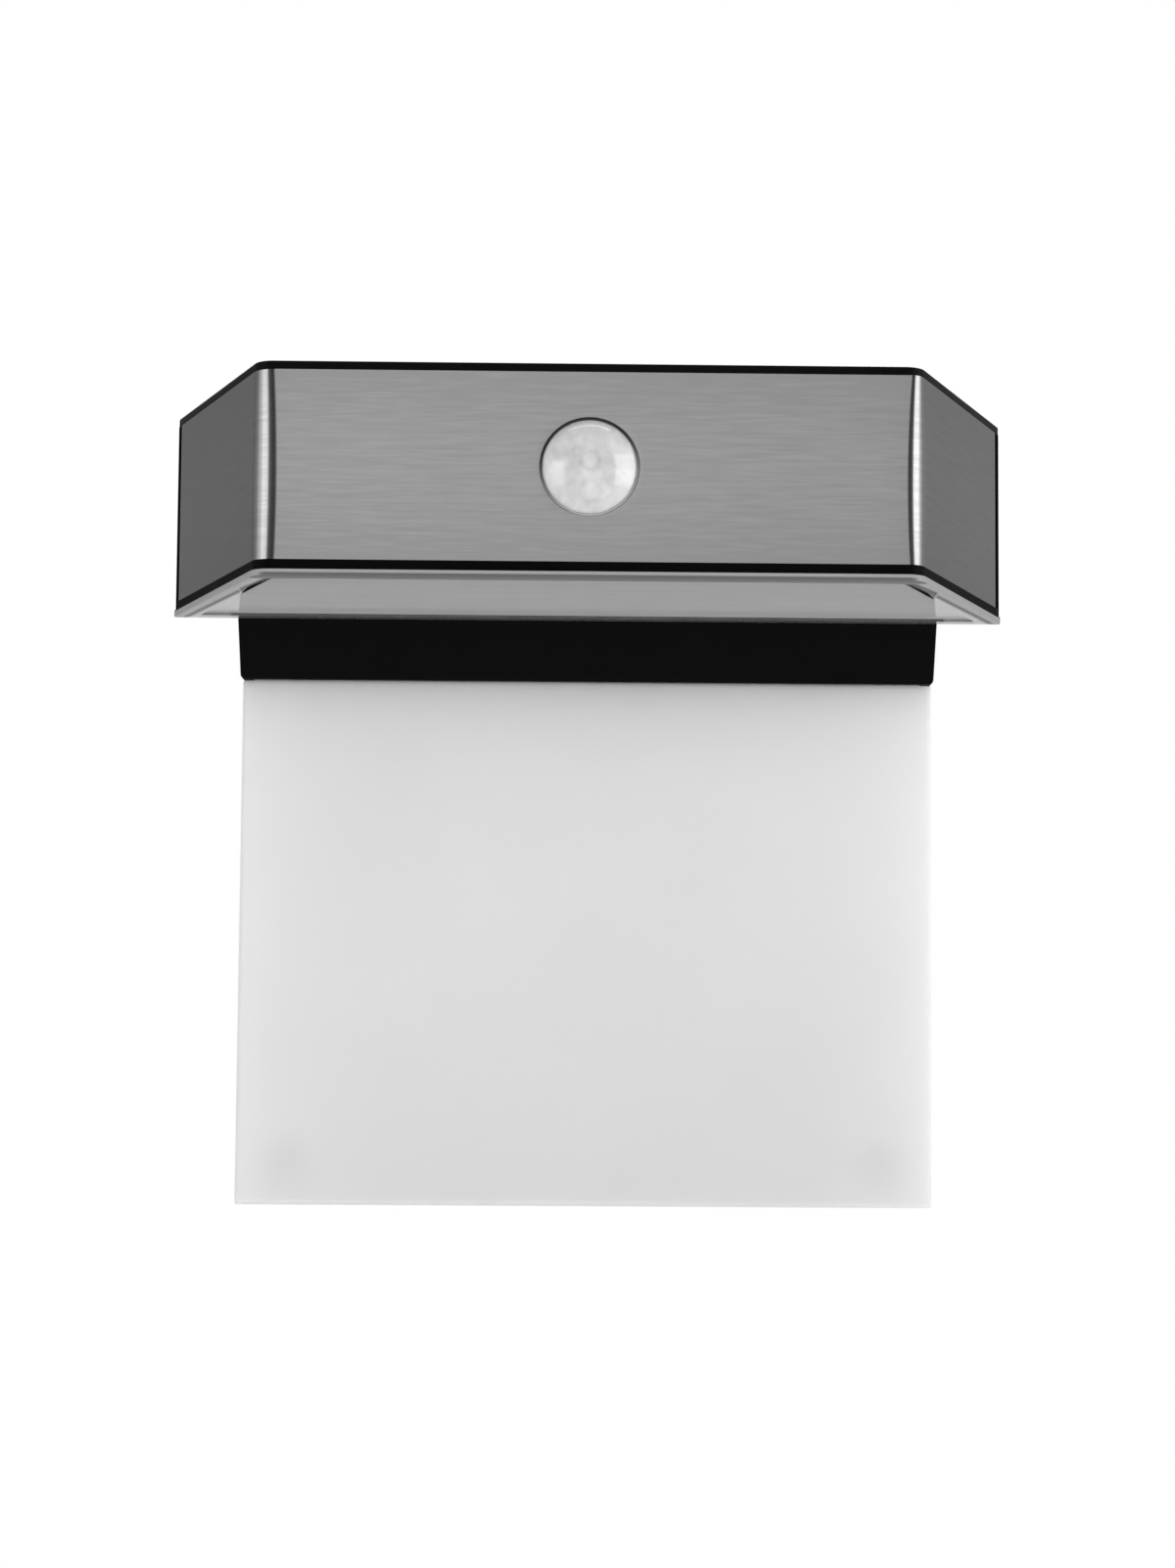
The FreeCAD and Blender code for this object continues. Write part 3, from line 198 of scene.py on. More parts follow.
def sewn(name, sheets, slots=None, flat_maps=None, values=None, sharp_degrees=35.0):
    """An object whose skin is sewn from sheets, each a grid of points (rows, columns, 3) in mm.
    Each grid cell is a face, points that coincide become one, and faces are turned outwards.
    slots gives each sheet's material slot, flat_maps each sheet's grid of map coordinates in mm,
    and values, for each attribute name, each sheet's grid of one number a point."""
    counts = [sheet.shape[0] * sheet.shape[1] for sheet in sheets]
    starts = np.cumsum([0] + counts[:-1])
    cells = []
    for sheet, start in zip(sheets, starts):
        rows, columns = sheet.shape[:2]
        corner = start + np.arange(rows - 1)[:, None] * columns + np.arange(columns - 1)
        around_cell = [corner, corner + 1, corner + columns + 1, corner + columns]
        cells.append(np.stack(around_cell, axis=-1).reshape(-1, 4))
    points = np.concatenate([sheet.reshape(-1, 3) for sheet in sheets]) * mm
    mesh = bpy.data.meshes.new(name)
    mesh.from_pydata(points.tolist(), [], np.concatenate(cells).tolist())
    corner_points = np.concatenate(cells).reshape(-1)
    slot_of_face = np.repeat(slots or [0] * len(sheets), [len(part) for part in cells])
    mesh.polygons.foreach_set("material_index", slot_of_face.astype(np.int32))
    if flat_maps is not None:
        layer = mesh.uv_layers.new(name="sheet")
        flat = np.concatenate([flat_map.reshape(-1, 2) for flat_map in flat_maps]) * mm
        layer.data.foreach_set("uv", flat[corner_points].reshape(-1).astype(np.float32))
    for label, grids in (values or {}).items():
        layer = mesh.attributes.new(label, "FLOAT", "POINT")
        numbers = np.concatenate([grid.reshape(-1) for grid in grids])
        layer.data.foreach_set("value", numbers.astype(np.float32))
    work = bmesh.new()
    work.from_mesh(mesh)
    bmesh.ops.remove_doubles(work, verts=work.verts, dist=join_distance)
    bmesh.ops.recalc_face_normals(work, faces=work.faces)
    work.to_mesh(mesh)
    work.free()
    mesh.shade_smooth()
    mesh.set_sharp_from_angle(angle=math.radians(sharp_degrees))
    made = bpy.data.objects.new(name, mesh)
    bpy.context.scene.collection.objects.link(made)
    return made


def new_material(name):
    """An empty node material and its tree."""
    made = bpy.data.materials.new(name)
    made.use_nodes = True
    made.node_tree.nodes.clear()
    return made, made.node_tree


def finish_with(tree, sockets):
    """The material's surface shader, with its sockets set or linked."""
    surface = add_node(tree, "ShaderNodeBsdfPrincipled", sockets)
    add_node(tree, "ShaderNodeOutputMaterial", {"Surface": surface.outputs[0]})


def object_place(tree):
    return add_node(tree, "ShaderNodeTexCoord").outputs["Object"]


def grey(value):
    return (value, value, value, 1.0)


def blend_colours(tree, factor, low, high):
    """Colour between low and high by a factor from 0 to 1.
    The node's colours are its inputs 6 and 7, and the mixed colour is its output 2."""
    return add_node(
        tree, "ShaderNodeMix", {0: factor, 6: low, 7: high}, data_type="RGBA"
    ).outputs[2]


floor_level = -620.0
floor_radius = 2200.0
floor_thickness = 4.0
# Shaders work in metres, and this is how far from the middle the fade to white starts and ends.
floor_fade_start = 0.15
floor_fade_end = 0.95
floor_turn = np.linspace(0.0, 2.0 * np.pi, 97)
floor_reach = np.array([0.0, 1.0, 1.0, 0.0])[:, None] * floor_radius
floor_height = np.array([0.0, 0.0, -1.0, -1.0])[:, None] * floor_thickness + floor_level
floor_grid = np.stack(
    [
        floor_reach * np.cos(floor_turn),
        floor_reach * np.sin(floor_turn),
        np.broadcast_to(floor_height, (4, floor_turn.size)),
    ],
    axis=-1,
)
floor = sewn("floor", [floor_grid])
floor_paint, tree = new_material("pale_floor")
floor_place = object_place(tree)
mottle = add_node(
    tree, "ShaderNodeTexNoise", {"Vector": floor_place, "Scale": 3.0, "Detail": 4.0}
)
paint = add_node(
    tree,
    "ShaderNodeBsdfPrincipled",
    {
        "Base Color": blend_colours(tree, mottle.outputs[0], grey(0.79), grey(0.83)),
        "Roughness": 0.9,
        "Specular IOR Level": 0.1,
    },
)
flat_place = add_node(
    tree, "ShaderNodeVectorMath", {0: floor_place, 1: (1.0, 1.0, 0.0)}, operation="MULTIPLY"
)
floor_way = add_node(
    tree, "ShaderNodeVectorMath", {0: flat_place.outputs[0]}, operation="LENGTH"
)
far_off = smooth_step(tree, floor_way.outputs["Value"], floor_fade_start, floor_fade_end)
seen = add_node(tree, "ShaderNodeLightPath").outputs["Is Camera Ray"]
white_glow = add_node(tree, "ShaderNodeEmission", {"Color": grey(1.0), "Strength": 1.0})
both = add_node(
    tree,
    "ShaderNodeMixShader",
    {0: times(tree, far_off, seen), 1: paint.outputs[0], 2: white_glow.outputs[0]},
)
add_node(tree, "ShaderNodeOutputMaterial", {"Surface": both.outputs[0]})
floor.data.materials.append(floor_paint)


# Surface effects that several finishes share: brushing, moulded skin, and soft handling marks.
# Each group gives values that vary over the surface; the shader stays in the material.
def new_group(name, inputs, outputs):
    """A shader node group that takes a Vector and the numbers in inputs, a dictionary of names
    and usual values, and gives one number for each name in outputs."""
    tree = bpy.data.node_groups.new(name, "ShaderNodeTree")
    tree.interface.new_socket("Vector", in_out="INPUT", socket_type="NodeSocketVector")
    for label, value in inputs.items():
        socket = tree.interface.new_socket(label, in_out="INPUT", socket_type="NodeSocketFloat")
        socket.default_value = value
    for label in outputs:
        tree.interface.new_socket(label, in_out="OUTPUT", socket_type="NodeSocketFloat")
    return tree, tree.nodes.new("NodeGroupInput"), tree.nodes.new("NodeGroupOutput")


def use_group(tree, group, sockets):
    """One copy of a group in a material."""
    return add_node(tree, "ShaderNodeGroup", sockets, node_tree=group)


fine_share = 0.6
brushing, group_in, group_out = new_group(
    "brushing", {"Stroke Length": 0.03, "Stroke Width": 0.0002}, ("Tone", "Height")
)
stretch = add_node(
    brushing,
    "ShaderNodeCombineXYZ",
    {
        0: maths(brushing, "DIVIDE", 1.0, group_in.outputs["Stroke Length"]),
        1: maths(brushing, "DIVIDE", 1.0, group_in.outputs["Stroke Width"]),
        2: 1.0,
    },
)
along = add_node(
    brushing,
    "ShaderNodeVectorMath",
    {0: group_in.outputs["Vector"], 1: stretch.outputs[0]},
    operation="MULTIPLY",
)
fine = add_node(
    brushing, "ShaderNodeTexNoise", {"Vector": along.outputs[0], "Scale": 1.0, "Detail": 3.0}
)
coarse = add_node(
    brushing, "ShaderNodeTexNoise", {"Vector": along.outputs[0], "Scale": 0.4, "Detail": 2.0}
)
coarse_part = times(brushing, coarse.outputs[0], 1.0 - fine_share)
brushed = scaled(brushing, fine.outputs[0], fine_share, coarse_part)
brushed_tone = spread(brushing, brushed, 0.0, 1.0, 0.32, 0.68)
brushing.links.new(brushed_tone, group_out.inputs["Tone"])
brushing.links.new(fine.outputs[0], group_out.inputs["Height"])

grain_share = 0.6
moulded_skin, group_in, group_out = new_group(
    "moulded_skin", {"Grain Size": 0.0006}, ("Tone", "Height")
)
pitch = maths(moulded_skin, "DIVIDE", 1.0, group_in.outputs["Grain Size"])
grain = add_node(
    moulded_skin,
    "ShaderNodeTexNoise",
    {"Vector": group_in.outputs["Vector"], "Scale": pitch, "Detail": 2.0},
)
pits = add_node(
    moulded_skin,
    "ShaderNodeTexVoronoi",
    {"Vector": group_in.outputs["Vector"], "Scale": pitch},
    feature="SMOOTH_F1",
)
pits_part = times(moulded_skin, pits.outputs[0], 1.0 - grain_share)
skin_height = scaled(moulded_skin, grain.outputs[0], grain_share, pits_part)
moulded_skin.links.new(grain.outputs[0], group_out.inputs["Tone"])
moulded_skin.links.new(skin_height, group_out.inputs["Height"])

handling, group_in, group_out = new_group("handling", {"Patch Size": 0.04}, ("Mark",))
patches = add_node(
    handling,
    "ShaderNodeTexNoise",
    {
        "Vector": group_in.outputs["Vector"],
        "Scale": maths(handling, "DIVIDE", 1.0, group_in.outputs["Patch Size"]),
        "Detail": 5.0,
        "Roughness": 0.6,
    },
)
hand_mark = spread(handling, patches.outputs[0], 0.0, 1.0, 0.35, 0.7)
handling.links.new(hand_mark, group_out.inputs["Mark"])
moulded_edge = 0.0002
plated_edge = 0.00025


def rounded_edges(tree, radius):
    """A normal that softens the edges by a radius in metres."""
    return add_node(tree, "ShaderNodeBevel", {"Radius": radius}, samples=4).outputs[0]


def bumped(tree, height, distance, strength, under=None):
    """A normal bent by a height from 0 to distance in metres, over another normal if given."""
    sockets = {"Height": height, "Distance": distance, "Strength": strength}
    if under is not None:
        sockets["Normal"] = under
    return add_node(tree, "ShaderNodeBump", sockets).outputs[0]


def moulded(name, colour, lighter, roughness, grain_size, grain_depth, gloss=0.5):
    """Moulded plastic: spark-eroded grain, softened edges, and faint marks from handling."""
    made, tree = new_material(name)
    place = object_place(tree)
    skin = use_group(tree, moulded_skin, {"Vector": place, "Grain Size": grain_size})
    mark = use_group(tree, handling, {"Vector": place}).outputs["Mark"]
    edges = rounded_edges(tree, moulded_edge)
    mixed = scaled(tree, skin.outputs["Tone"], 0.5, times(tree, mark, 0.5))
    finish_with(
        tree,
        {
            "Base Color": blend_colours(tree, mixed, colour, lighter),
            "Roughness": spread(tree, mark, roughness, roughness * 1.25),
            "Specular IOR Level": gloss,
            "Normal": bumped(tree, skin.outputs["Height"], grain_depth, 0.6, edges),
        },
    )
    return made


def plated(name, colour, darker, roughness, patch_size):
    """Bare or plated metal with a fine mottle and softened edges."""
    made, tree = new_material(name)
    sockets = {"Vector": object_place(tree), "Patch Size": patch_size}
    mark = use_group(tree, handling, sockets).outputs["Mark"]
    finish_with(
        tree,
        {
            "Base Color": blend_colours(tree, mark, darker, colour),
            "Metallic": 1.0,
            "Roughness": spread(tree, mark, roughness * 1.3, roughness),
            "Normal": bumped(tree, mark, 0.00003, 0.4, rounded_edges(tree, plated_edge)),
        },
    )
    return made


def dress(material, *names):
    """Gives CAD nodes a finish in place of their plain one."""
    for name in names:
        slots = nodes[name].data.materials
        if len(slots) == 0:
            slots.append(material)
        for index in range(len(slots)):
            slots[index] = material


def settle(piece, body, slot, replaced, *materials):
    """Gives a new piece its finishes and its body, and hides the CAD node it stands for. The slot
    argument is not used.
    """
    for material in materials:
        piece.data.materials.append(material)
    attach(piece, body)
    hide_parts(replaced)


# Wall bracket and the tilt joint's hardware: galvanised sheet, nickel-plated bolt and nut.
# The bracket is screwed to the wall, and its arms hold the head's knuckle.
zinc = plated("zinc_sheet", grey(0.62), grey(0.46), 0.34, 0.006)
nickel = plated("nickel_plate", grey(0.66), grey(0.52), 0.22, 0.004)
dress(zinc, "wall_bracket")
dress(nickel, "tilt_bolt", "tilt_nut", "friction_washers", "holder_screws", "clamp_screws")


# Panel holder: a black satin bar whose face slopes back to the plate, with soft edges.
bar_black = moulded("bar_black", grey(0.002), grey(0.0035), 0.42, 0.0005, 0.00002, gloss=0.04)
dress(bar_black, "panel_holder", "panel_clamp")


# Lights over the plate's top edge: a white board with a row of small yellowish chips.
board_white = moulded("board_white", grey(0.68), grey(0.76), 0.4, 0.0008, 0.00001)
yellow = (0.78, 0.62, 0.2, 1.0)
light_yellow = (0.85, 0.7, 0.28, 1.0)
phosphor = moulded("phosphor", yellow, light_yellow, 0.5, 0.0004, 0.00002)
dress(board_white, "edge_led_board", "downlight_board")
dress(phosphor, "edge_leds", "downlight_leds")


# Frosted plate: cast acrylic about 4 mm thick with a satin skin, bevelled round its front.
# It is a little see-through, so light that enters its side edges comes up in it near them;
# a stronger glow there, leaning to the right, is painted into its colour, as is a shade under
# the bar. It is clamped in the bar by a narrower tenon.
def rounded_ring(turns, reaches, radii, steps):
    """Points once round a convex outline, first point repeated at the end.
    Side i faces the angle turns[i] and lies reaches[i] from the origin. The corner after it
    is an arc of radius radii[i] about the point that lies that radius inside both sides."""
    following = np.roll(np.arange(turns.size), -1)
    first = reaches - radii
    second = reaches[following] - radii
    bend = (turns[following] - turns) % (2.0 * np.pi)
    across = (second - first * np.cos(bend)) / np.sin(bend)
    facing = np.stack([np.cos(turns), np.sin(turns)], axis=-1)
    beside = np.stack([-np.sin(turns), np.cos(turns)], axis=-1)
    centres = first[:, None] * facing + across[:, None] * beside
    angles = turns[:, None] + bend[:, None] * np.linspace(0.0, 1.0, steps)
    arcs = centres[:, None] + radii[:, None, None] * np.stack(
        [np.cos(angles), np.sin(angles)], axis=-1
    )
    ring = arcs.reshape(-1, 2)
    return np.concatenate([ring, ring[:1]])


plate_half = 82.2
plate_front = -6.0
plate_back = -2.0
plate_bottom = -160.5
plate_top = -36.3
plate_corner = 0.4
least_corner = 0.05
middle_inset = 1.0
tenon_half = 79.5
tenon_top = -29.8
# Profile from the middle of the front round the edge to the middle of the back:
# how far each ring lies inside the edge, and its depth in mm.
plate_profile = [
    *[(inset, plate_front) for inset in (40.0, 16.0, 8.0, 4.0, 1.5, 0.9)],
    (0.74, plate_front + 0.06),
    (0.06, plate_front + 0.74),
    (0.0, plate_front + 0.9),
    (0.0, plate_back - 0.2),
    *[(inset, plate_back) for inset in (0.2, 8.0, 40.0)],
]
plate_turns = np.radians([-90.0, 0.0, 90.0, 180.0])
plate_middle = (plate_top + plate_bottom) / 2


def plate_ring(inset, depth):
    """The plate's outline seen from the front, moved in at the sides and bottom, at a depth.
    The top edge stays put under the bar unless the ring is one of the middle's."""
    top = plate_top - (inset if inset > middle_inset else 0.0)
    reaches = np.array([-plate_bottom - inset, plate_half - inset, top, plate_half - inset])
    radii = np.full(4, max(plate_corner - inset / 4, least_corner))
    flat = rounded_ring(plate_turns, reaches, radii, 4)
    return np.stack([flat[:, 0], np.full(len(flat), depth), flat[:, 1]], axis=-1)


plate_rings = np.stack([plate_ring(inset, depth) for inset, depth in plate_profile])
front_pole = plate_rings[:1] * 0 + np.array([0.0, plate_front, plate_middle])
back_pole = plate_rings[:1] * 0 + np.array([0.0, plate_back, plate_middle])
plate_skin = np.concatenate([front_pole, plate_rings, back_pole])
tenon_reach = np.array([0.0, 1.0, 1.0, 0.0])[:, None, None]
tenon_level = np.array([plate_top, plate_top, tenon_top, tenon_top])[:, None]
tenon_reaches = np.array([-plate_front, tenon_half, plate_back, tenon_half])
tenon_flat = rounded_ring(plate_turns, tenon_reaches, np.full(4, least_corner), 2)
tenon_middle = np.array([0.0, (plate_front + plate_back) / 2])
tenon_skin = np.concatenate(
    [
        tenon_reach * tenon_flat[None] + (1 - tenon_reach) * tenon_middle,
        np.broadcast_to(tenon_level[..., None], (4, len(tenon_flat), 1)),
    ],
    axis=-1,
)
# Shares of the plate's tone, and depths and levels in metres: the painted glow near the side
# edges, which leans to the right, the painted shade under the bar, and the slow fall towards the
# foot.
painted_edge_light = 0.14
painted_light_lean = 0.2
painted_light_depth = 0.011
painted_bar_shade = -0.2
painted_bar_shade_depth = 0.006
foot_tone = 0.945
foot_levels = (-0.16, -0.09)
frosted, tree = new_material("frosted_acrylic")
place = object_place(tree)
apart = parts_of(tree, place)
across = apart["X"]
from_edge = maths(tree, "SUBTRACT", plate_half * mm, maths(tree, "ABSOLUTE", across))
fading = maths(tree, "EXPONENT", maths(tree, "DIVIDE", from_edge, -painted_light_depth))
painted_light_share = scaled(tree, across, painted_light_lean, painted_edge_light)
brighter = scaled(tree, fading, painted_light_share, 1.0)
under_bar = maths(tree, "SUBTRACT", apart["Z"], plate_top * mm)
shading = maths(tree, "EXPONENT", maths(tree, "DIVIDE", under_bar, painted_bar_shade_depth))
dimmer = scaled(tree, shading, painted_bar_shade, 1.0)
falling = spread(tree, apart["Z"], foot_tone, 1.0, *foot_levels)
painted_light_and_fall = times(tree, brighter, falling)
plate_tone = times(tree, painted_light_and_fall, maths(tree, "MINIMUM", dimmer, 1.0))
frost = use_group(tree, moulded_skin, {"Vector": place, "Grain Size": 0.0003})
frost_mark = use_group(tree, handling, {"Vector": place, "Patch Size": 0.08}).outputs["Mark"]
finish_with(
    tree,
    {
        "Base Color": times(tree, spread(tree, frost_mark, 0.75, 0.77), plate_tone),
        "Roughness": spread(tree, frost_mark, 0.5, 0.58),
        "Specular IOR Level": 0.3,
        "Subsurface Weight": 0.7,
        "Subsurface Radius": (1.0, 1.0, 1.0),
        "Subsurface Scale": 0.006,
        "Normal": bumped(tree, frost.outputs["Height"], 0.00001, 0.5),
    },
)
light_panel = sewn("frosted_plate", [plate_skin, tenon_skin], sharp_degrees=50.0)
settle(light_panel, "wall_unit", "frosted_acrylic", "light_panel", frosted)


# Wall pads: clear soft rubber, stuck behind the plate's lower corners.
soft_clear = moulded("soft_clear", grey(0.75), grey(0.8), 0.35, 0.001, 0.00001)
dress(soft_clear, "wall_pads")


# Chassis: black moulded tub with the low band, the rear lip and the tilt joint's pocket.
tub_black = moulded("tub_black", grey(0.0015), grey(0.003), 0.45, 0.0007, 0.00003, gloss=0.03)
dress(tub_black, "chassis", "battery_holder")
dress(tub_black, "sensor_carrier", "battery_seal", "base_seal", "glass_gasket")


# Steel shroud: one brushed stainless sheet folded round the front and both sides.
# The brushing runs level all the way round. The folds are rounder at mid height, the left one
# more, as a bent sheet springs back, and the right one runs out softly into its side.
head_front = -89.0
head_back = -23.0
front_half = 71.6
back_half = 96.5
side_slope = (back_half - front_half) / (head_back - head_front)
side_turn = math.atan2(-side_slope, 1.0)
side_reach = front_half * math.cos(side_turn) + head_front * math.sin(side_turn)
fold_turn = math.pi / 2 + side_turn
steel_low = -20.1
steel_high = 21.4
steel_sheet = 0.8
# Each fold: its radius where it is widest, the height of that place, how fast the radius
# falls above and below it, how softly the bend runs out into the side, and the side's rear end.
left_fold = (6.5, -5.0, 0.0018, 1.0, -25.5)
right_fold = (4.05, -3.0, 0.0024, 6.5, -26.1)
round_turn = math.radians(63.0)
arc_steps = 16
run_steps = 12
straight_steps = 8
lens_z = 0.65
window_half = 18.0
window_cells = 24
hole_radius = 10.82
hole_rim = 0.08
spoke_points = 8

window_line = np.linspace(-window_half, window_half, window_cells + 1)
steel_rows = np.concatenate(
    [
        np.linspace(steel_low, lens_z - window_half, 4)[:-1],
        lens_z + window_line,
        np.linspace(lens_z + window_half, steel_high, 4)[1:],
    ]
)


def fold_side(inset, fold):
    """Right-hand half of the sheet's plan at each row, as (rows, points, 2), middle to rear.
    The front's straight, an arc whose radius falls with the square of the height from its
    widest place, a run-out whose curvature fades evenly to nothing, and the side's straight
    up to its rear end. The inner skin lies inset behind the outer along the outer's normal."""
    widest, widest_z, fall, softness, rear_end = fold
    radius = (widest - fall * (steel_rows - widest_z) ** 2)[:, None]
    run_turn = fold_turn - round_turn
    run_share = np.linspace(0.0, 1.0, run_steps + 1)[1:]
    bend = np.concatenate(
        [
            round_turn * np.linspace(0.0, 1.0, arc_steps + 1),
            round_turn + run_turn * (1 - (1 - run_share) ** 2),
        ]
    )
    steps = np.concatenate(
        [
            np.repeat(radius * round_turn / arc_steps, arc_steps, axis=1),
            np.repeat(radius * 2 * softness * run_turn / run_steps, run_steps, axis=1),
        ],
        axis=1,
    )
    between = (bend[1:] + bend[:-1]) / 2
    start = np.zeros((len(steel_rows), 1))
    bend_x = np.concatenate([start, np.cumsum(steps * np.cos(between), axis=1)], axis=1)
    bend_y = np.concatenate([start, np.cumsum(steps * np.sin(between), axis=1)], axis=1)
    start_x = front_half + side_slope * bend_y[:, -1:] - bend_x[:, -1:]
    share = np.linspace(0.0, 1.0, straight_steps + 1)
    front_x = window_half + (start_x - window_half) * share[:-1]
    rear_x = front_half + (rear_end - head_front) * side_slope
    rear_y = rear_end - head_front
    side_x = start_x + bend_x[:, -1:]
    side_x = side_x + (rear_x - side_x) * share[1:]
    side_y = bend_y[:, -1:] + (rear_y - bend_y[:, -1:]) * share[1:]
    x = np.concatenate([front_x, start_x + bend_x, side_x], axis=1)
    y = np.concatenate([front_x * 0, bend_y, side_y], axis=1) + head_front
    facing = np.pad(bend, straight_steps, constant_values=(0.0, fold_turn))
    return np.stack([x - inset * np.sin(facing), y + inset * np.cos(facing)], axis=-1)


def raised(plan):
    """A plan grid (rows, points, 2) lifted to its rows' heights, as (rows, points, 3)."""
    heights = np.broadcast_to(steel_rows[:, None, None], plan.shape[:2] + (1,))
    return np.concatenate([plan, heights], axis=-1)


def map_lengths(grid):
    """Map coordinates of a lifted half: distance along the sheet from its middle, and height."""
    steps = np.linalg.norm(np.diff(grid[..., :2], axis=1), axis=-1)
    along_sheet = np.concatenate([np.zeros((len(grid), 1)), np.cumsum(steps, axis=1)], axis=1)
    return np.stack([window_half + along_sheet, grid[..., 2]], axis=-1)


def mirrored_in_x(grid):
    return grid * np.array([-1.0] + [1.0] * (grid.shape[-1] - 1))


steel_sheets = []
steel_maps = []
# Where the middle of the front lies on the sheet's map.
map_shift = np.array([150.0, 30.0])


def add_steel(grid, flat_map):
    """Keeps a grid of the sheet's skin and its map."""
    steel_sheets.append(grid)
    steel_maps.append(flat_map + map_shift)


skins = {}
for inset in (0.0, steel_sheet):
    right = raised(fold_side(inset, right_fold))
    left = mirrored_in_x(raised(fold_side(inset, left_fold)))
    low_strip = np.stack(np.meshgrid(window_line, steel_rows[:4], indexing="xy"), axis=-1)
    high_strip = np.stack(np.meshgrid(window_line, steel_rows[-4:], indexing="xy"), axis=-1)
    add_steel(right, map_lengths(right))
    add_steel(left, mirrored_in_x(map_lengths(mirrored_in_x(left))))
    for strip in (low_strip, high_strip):
        front_wall = np.full(strip.shape[:2], head_front + inset)
        add_steel(np.stack([strip[..., 0], front_wall, strip[..., 1]], axis=-1), strip)
    skins[inset] = (left, right)

# The window round the lens: spokes from its square border in to the hole, over the rim
# and through the sheet to the inner skin.
flank = np.full(window_cells + 1, window_half)
border_turn = np.concatenate(
    [
        np.stack([window_line, -flank], axis=-1)[:-1],
        np.stack([flank, window_line], axis=-1)[:-1],
        np.stack([window_line[::-1], flank], axis=-1)[:-1],
        np.stack([-flank, window_line[::-1]], axis=-1),
    ]
)
spoke = np.arctan2(border_turn[:, 1], border_turn[:, 0])
spoke_line = np.stack([np.cos(spoke), np.sin(spoke)], axis=-1)
fade = np.linspace(0.0, 1.0, spoke_points)[:, None, None]
rim_angle = np.linspace(0.0, math.pi / 2, 6)
rim_reach = hole_radius + hole_rim * (1 - np.sin(rim_angle))
rim_depth = head_front + hole_rim * (1 - np.cos(rim_angle))


def window_rows(flat, depth):
    """Rings of the window, as (rings, points, 2) round the lens's axis, set at their depths."""
    depths = np.broadcast_to(np.asarray(depth, float).reshape(-1, 1), flat.shape[:2])
    return np.stack([flat[..., 0], depths, flat[..., 1] + lens_z], axis=-1)


outer_flat = border_turn * (1 - fade) + spoke_line * (hole_radius + hole_rim) * fade
rim_flat = spoke_line[None] * rim_reach[:, None, None]
inner_flat = spoke_line * hole_radius * (1 - fade) + border_turn * fade
wall_flat = np.stack([spoke_line * hole_radius] * 2)
for flat, depth in (
    (outer_flat, [head_front] * spoke_points),
    (rim_flat, rim_depth),
    (wall_flat, [head_front + hole_rim, head_front + steel_sheet]),
    (inner_flat, [head_front + steel_sheet] * spoke_points),
):
    grid = window_rows(flat, depth)
    add_steel(grid, grid[..., [0, 2]])

# The sheet's cut edges: top, bottom and the two rear ends.
for row in (0, -1):
    for side in (0, 1):
        edge = np.stack([skins[0.0][side][row], skins[steel_sheet][side][row]])
        add_steel(edge, edge[..., [0, 2]])
    middle_edge = np.stack(
        [
            np.stack([window_line, np.full(window_line.size, depth)], axis=-1)
            for depth in (head_front, head_front + steel_sheet)
        ]
    )
    level = np.full(middle_edge.shape[:2] + (1,), steel_rows[row])
    edge = np.concatenate([middle_edge, level], axis=-1)
    add_steel(edge, edge[..., [0, 2]])
for side in (0, 1):
    edge = np.stack([skins[0.0][side][:, -1], skins[steel_sheet][side][:, -1]])
    add_steel(edge, edge[..., [1, 2]])

# The strokes' tone falls off towards the sheet's top and bottom, with the square of the way, as a
# painted shade.
painted_edge_shade = 0.55
steel, tree = new_material("brushed_stainless")
sheet_map = add_node(tree, "ShaderNodeUVMap", uv_map="sheet").outputs[0]
strokes = use_group(
    tree, brushing, {"Vector": sheet_map, "Stroke Length": 0.009, "Stroke Width": 0.0005}
)
up_sheet = parts_of(tree, sheet_map)["Y"]
way_up = maths(tree, "SUBTRACT", up_sheet, (map_shift[1] + lens_z) * mm)
off_middle = maths(tree, "DIVIDE", way_up, (steel_high - steel_low) / 2 * mm)
off_squared = maths(tree, "POWER", maths(tree, "ABSOLUTE", off_middle), 2.0)
painted_shade = times(tree, off_squared, painted_edge_shade)
shaded_strokes = maths(tree, "SUBTRACT", strokes.outputs["Tone"], painted_shade)
tangent = add_node(tree, "ShaderNodeTangent", direction_type="UV_MAP", uv_map="sheet")
finish_with(
    tree,
    {
        "Base Color": blend_colours(tree, shaded_strokes, grey(0.321), grey(0.385)),
        "Metallic": 1.0,
        "Roughness": spread(tree, strokes.outputs["Tone"], 0.25, 0.235),
        "Anisotropic": 0.91,
        "Anisotropic Rotation": 0.25,
        "Tangent": tangent.outputs[0],
        "Normal": bumped(tree, strokes.outputs["Height"], 0.000002, 0.5),
    },
)
shroud = sewn("brushed_shroud", steel_sheets, flat_maps=steel_maps, sharp_degrees=40.0)
settle(shroud, "head", "brushed_stainless", "steel_shroud", steel)


# Solar top: a black frame with soft edges, thin glass let into it over dark cells.
# The frame is screwed down from inside, and the cells are strips on a white backing sheet.
band_high = 23.3
pocket_inset = 5.0
opening_inset = 8.0
flange_inset = 3.2
ledge_top = 21.5
ledge_low = 20.0
front_corner = 4.5
least_front_corner = 2.0
back_corner = 0.3
head_turns = np.array([-math.pi / 2, side_turn, math.pi / 2, math.pi - side_turn])


def head_ring(inset, level):
    """The head's plan moved in by inset on all sides, once round, at a height."""
    reaches = np.array([-head_front, side_reach, head_back, side_reach]) - inset
    front = max(front_corner - inset, least_front_corner)
    flat = rounded_ring(head_turns, reaches, np.array([front, back_corner, back_corner, front]), 9)
    return np.concatenate([flat, np.full((len(flat), 1), level)], axis=1)


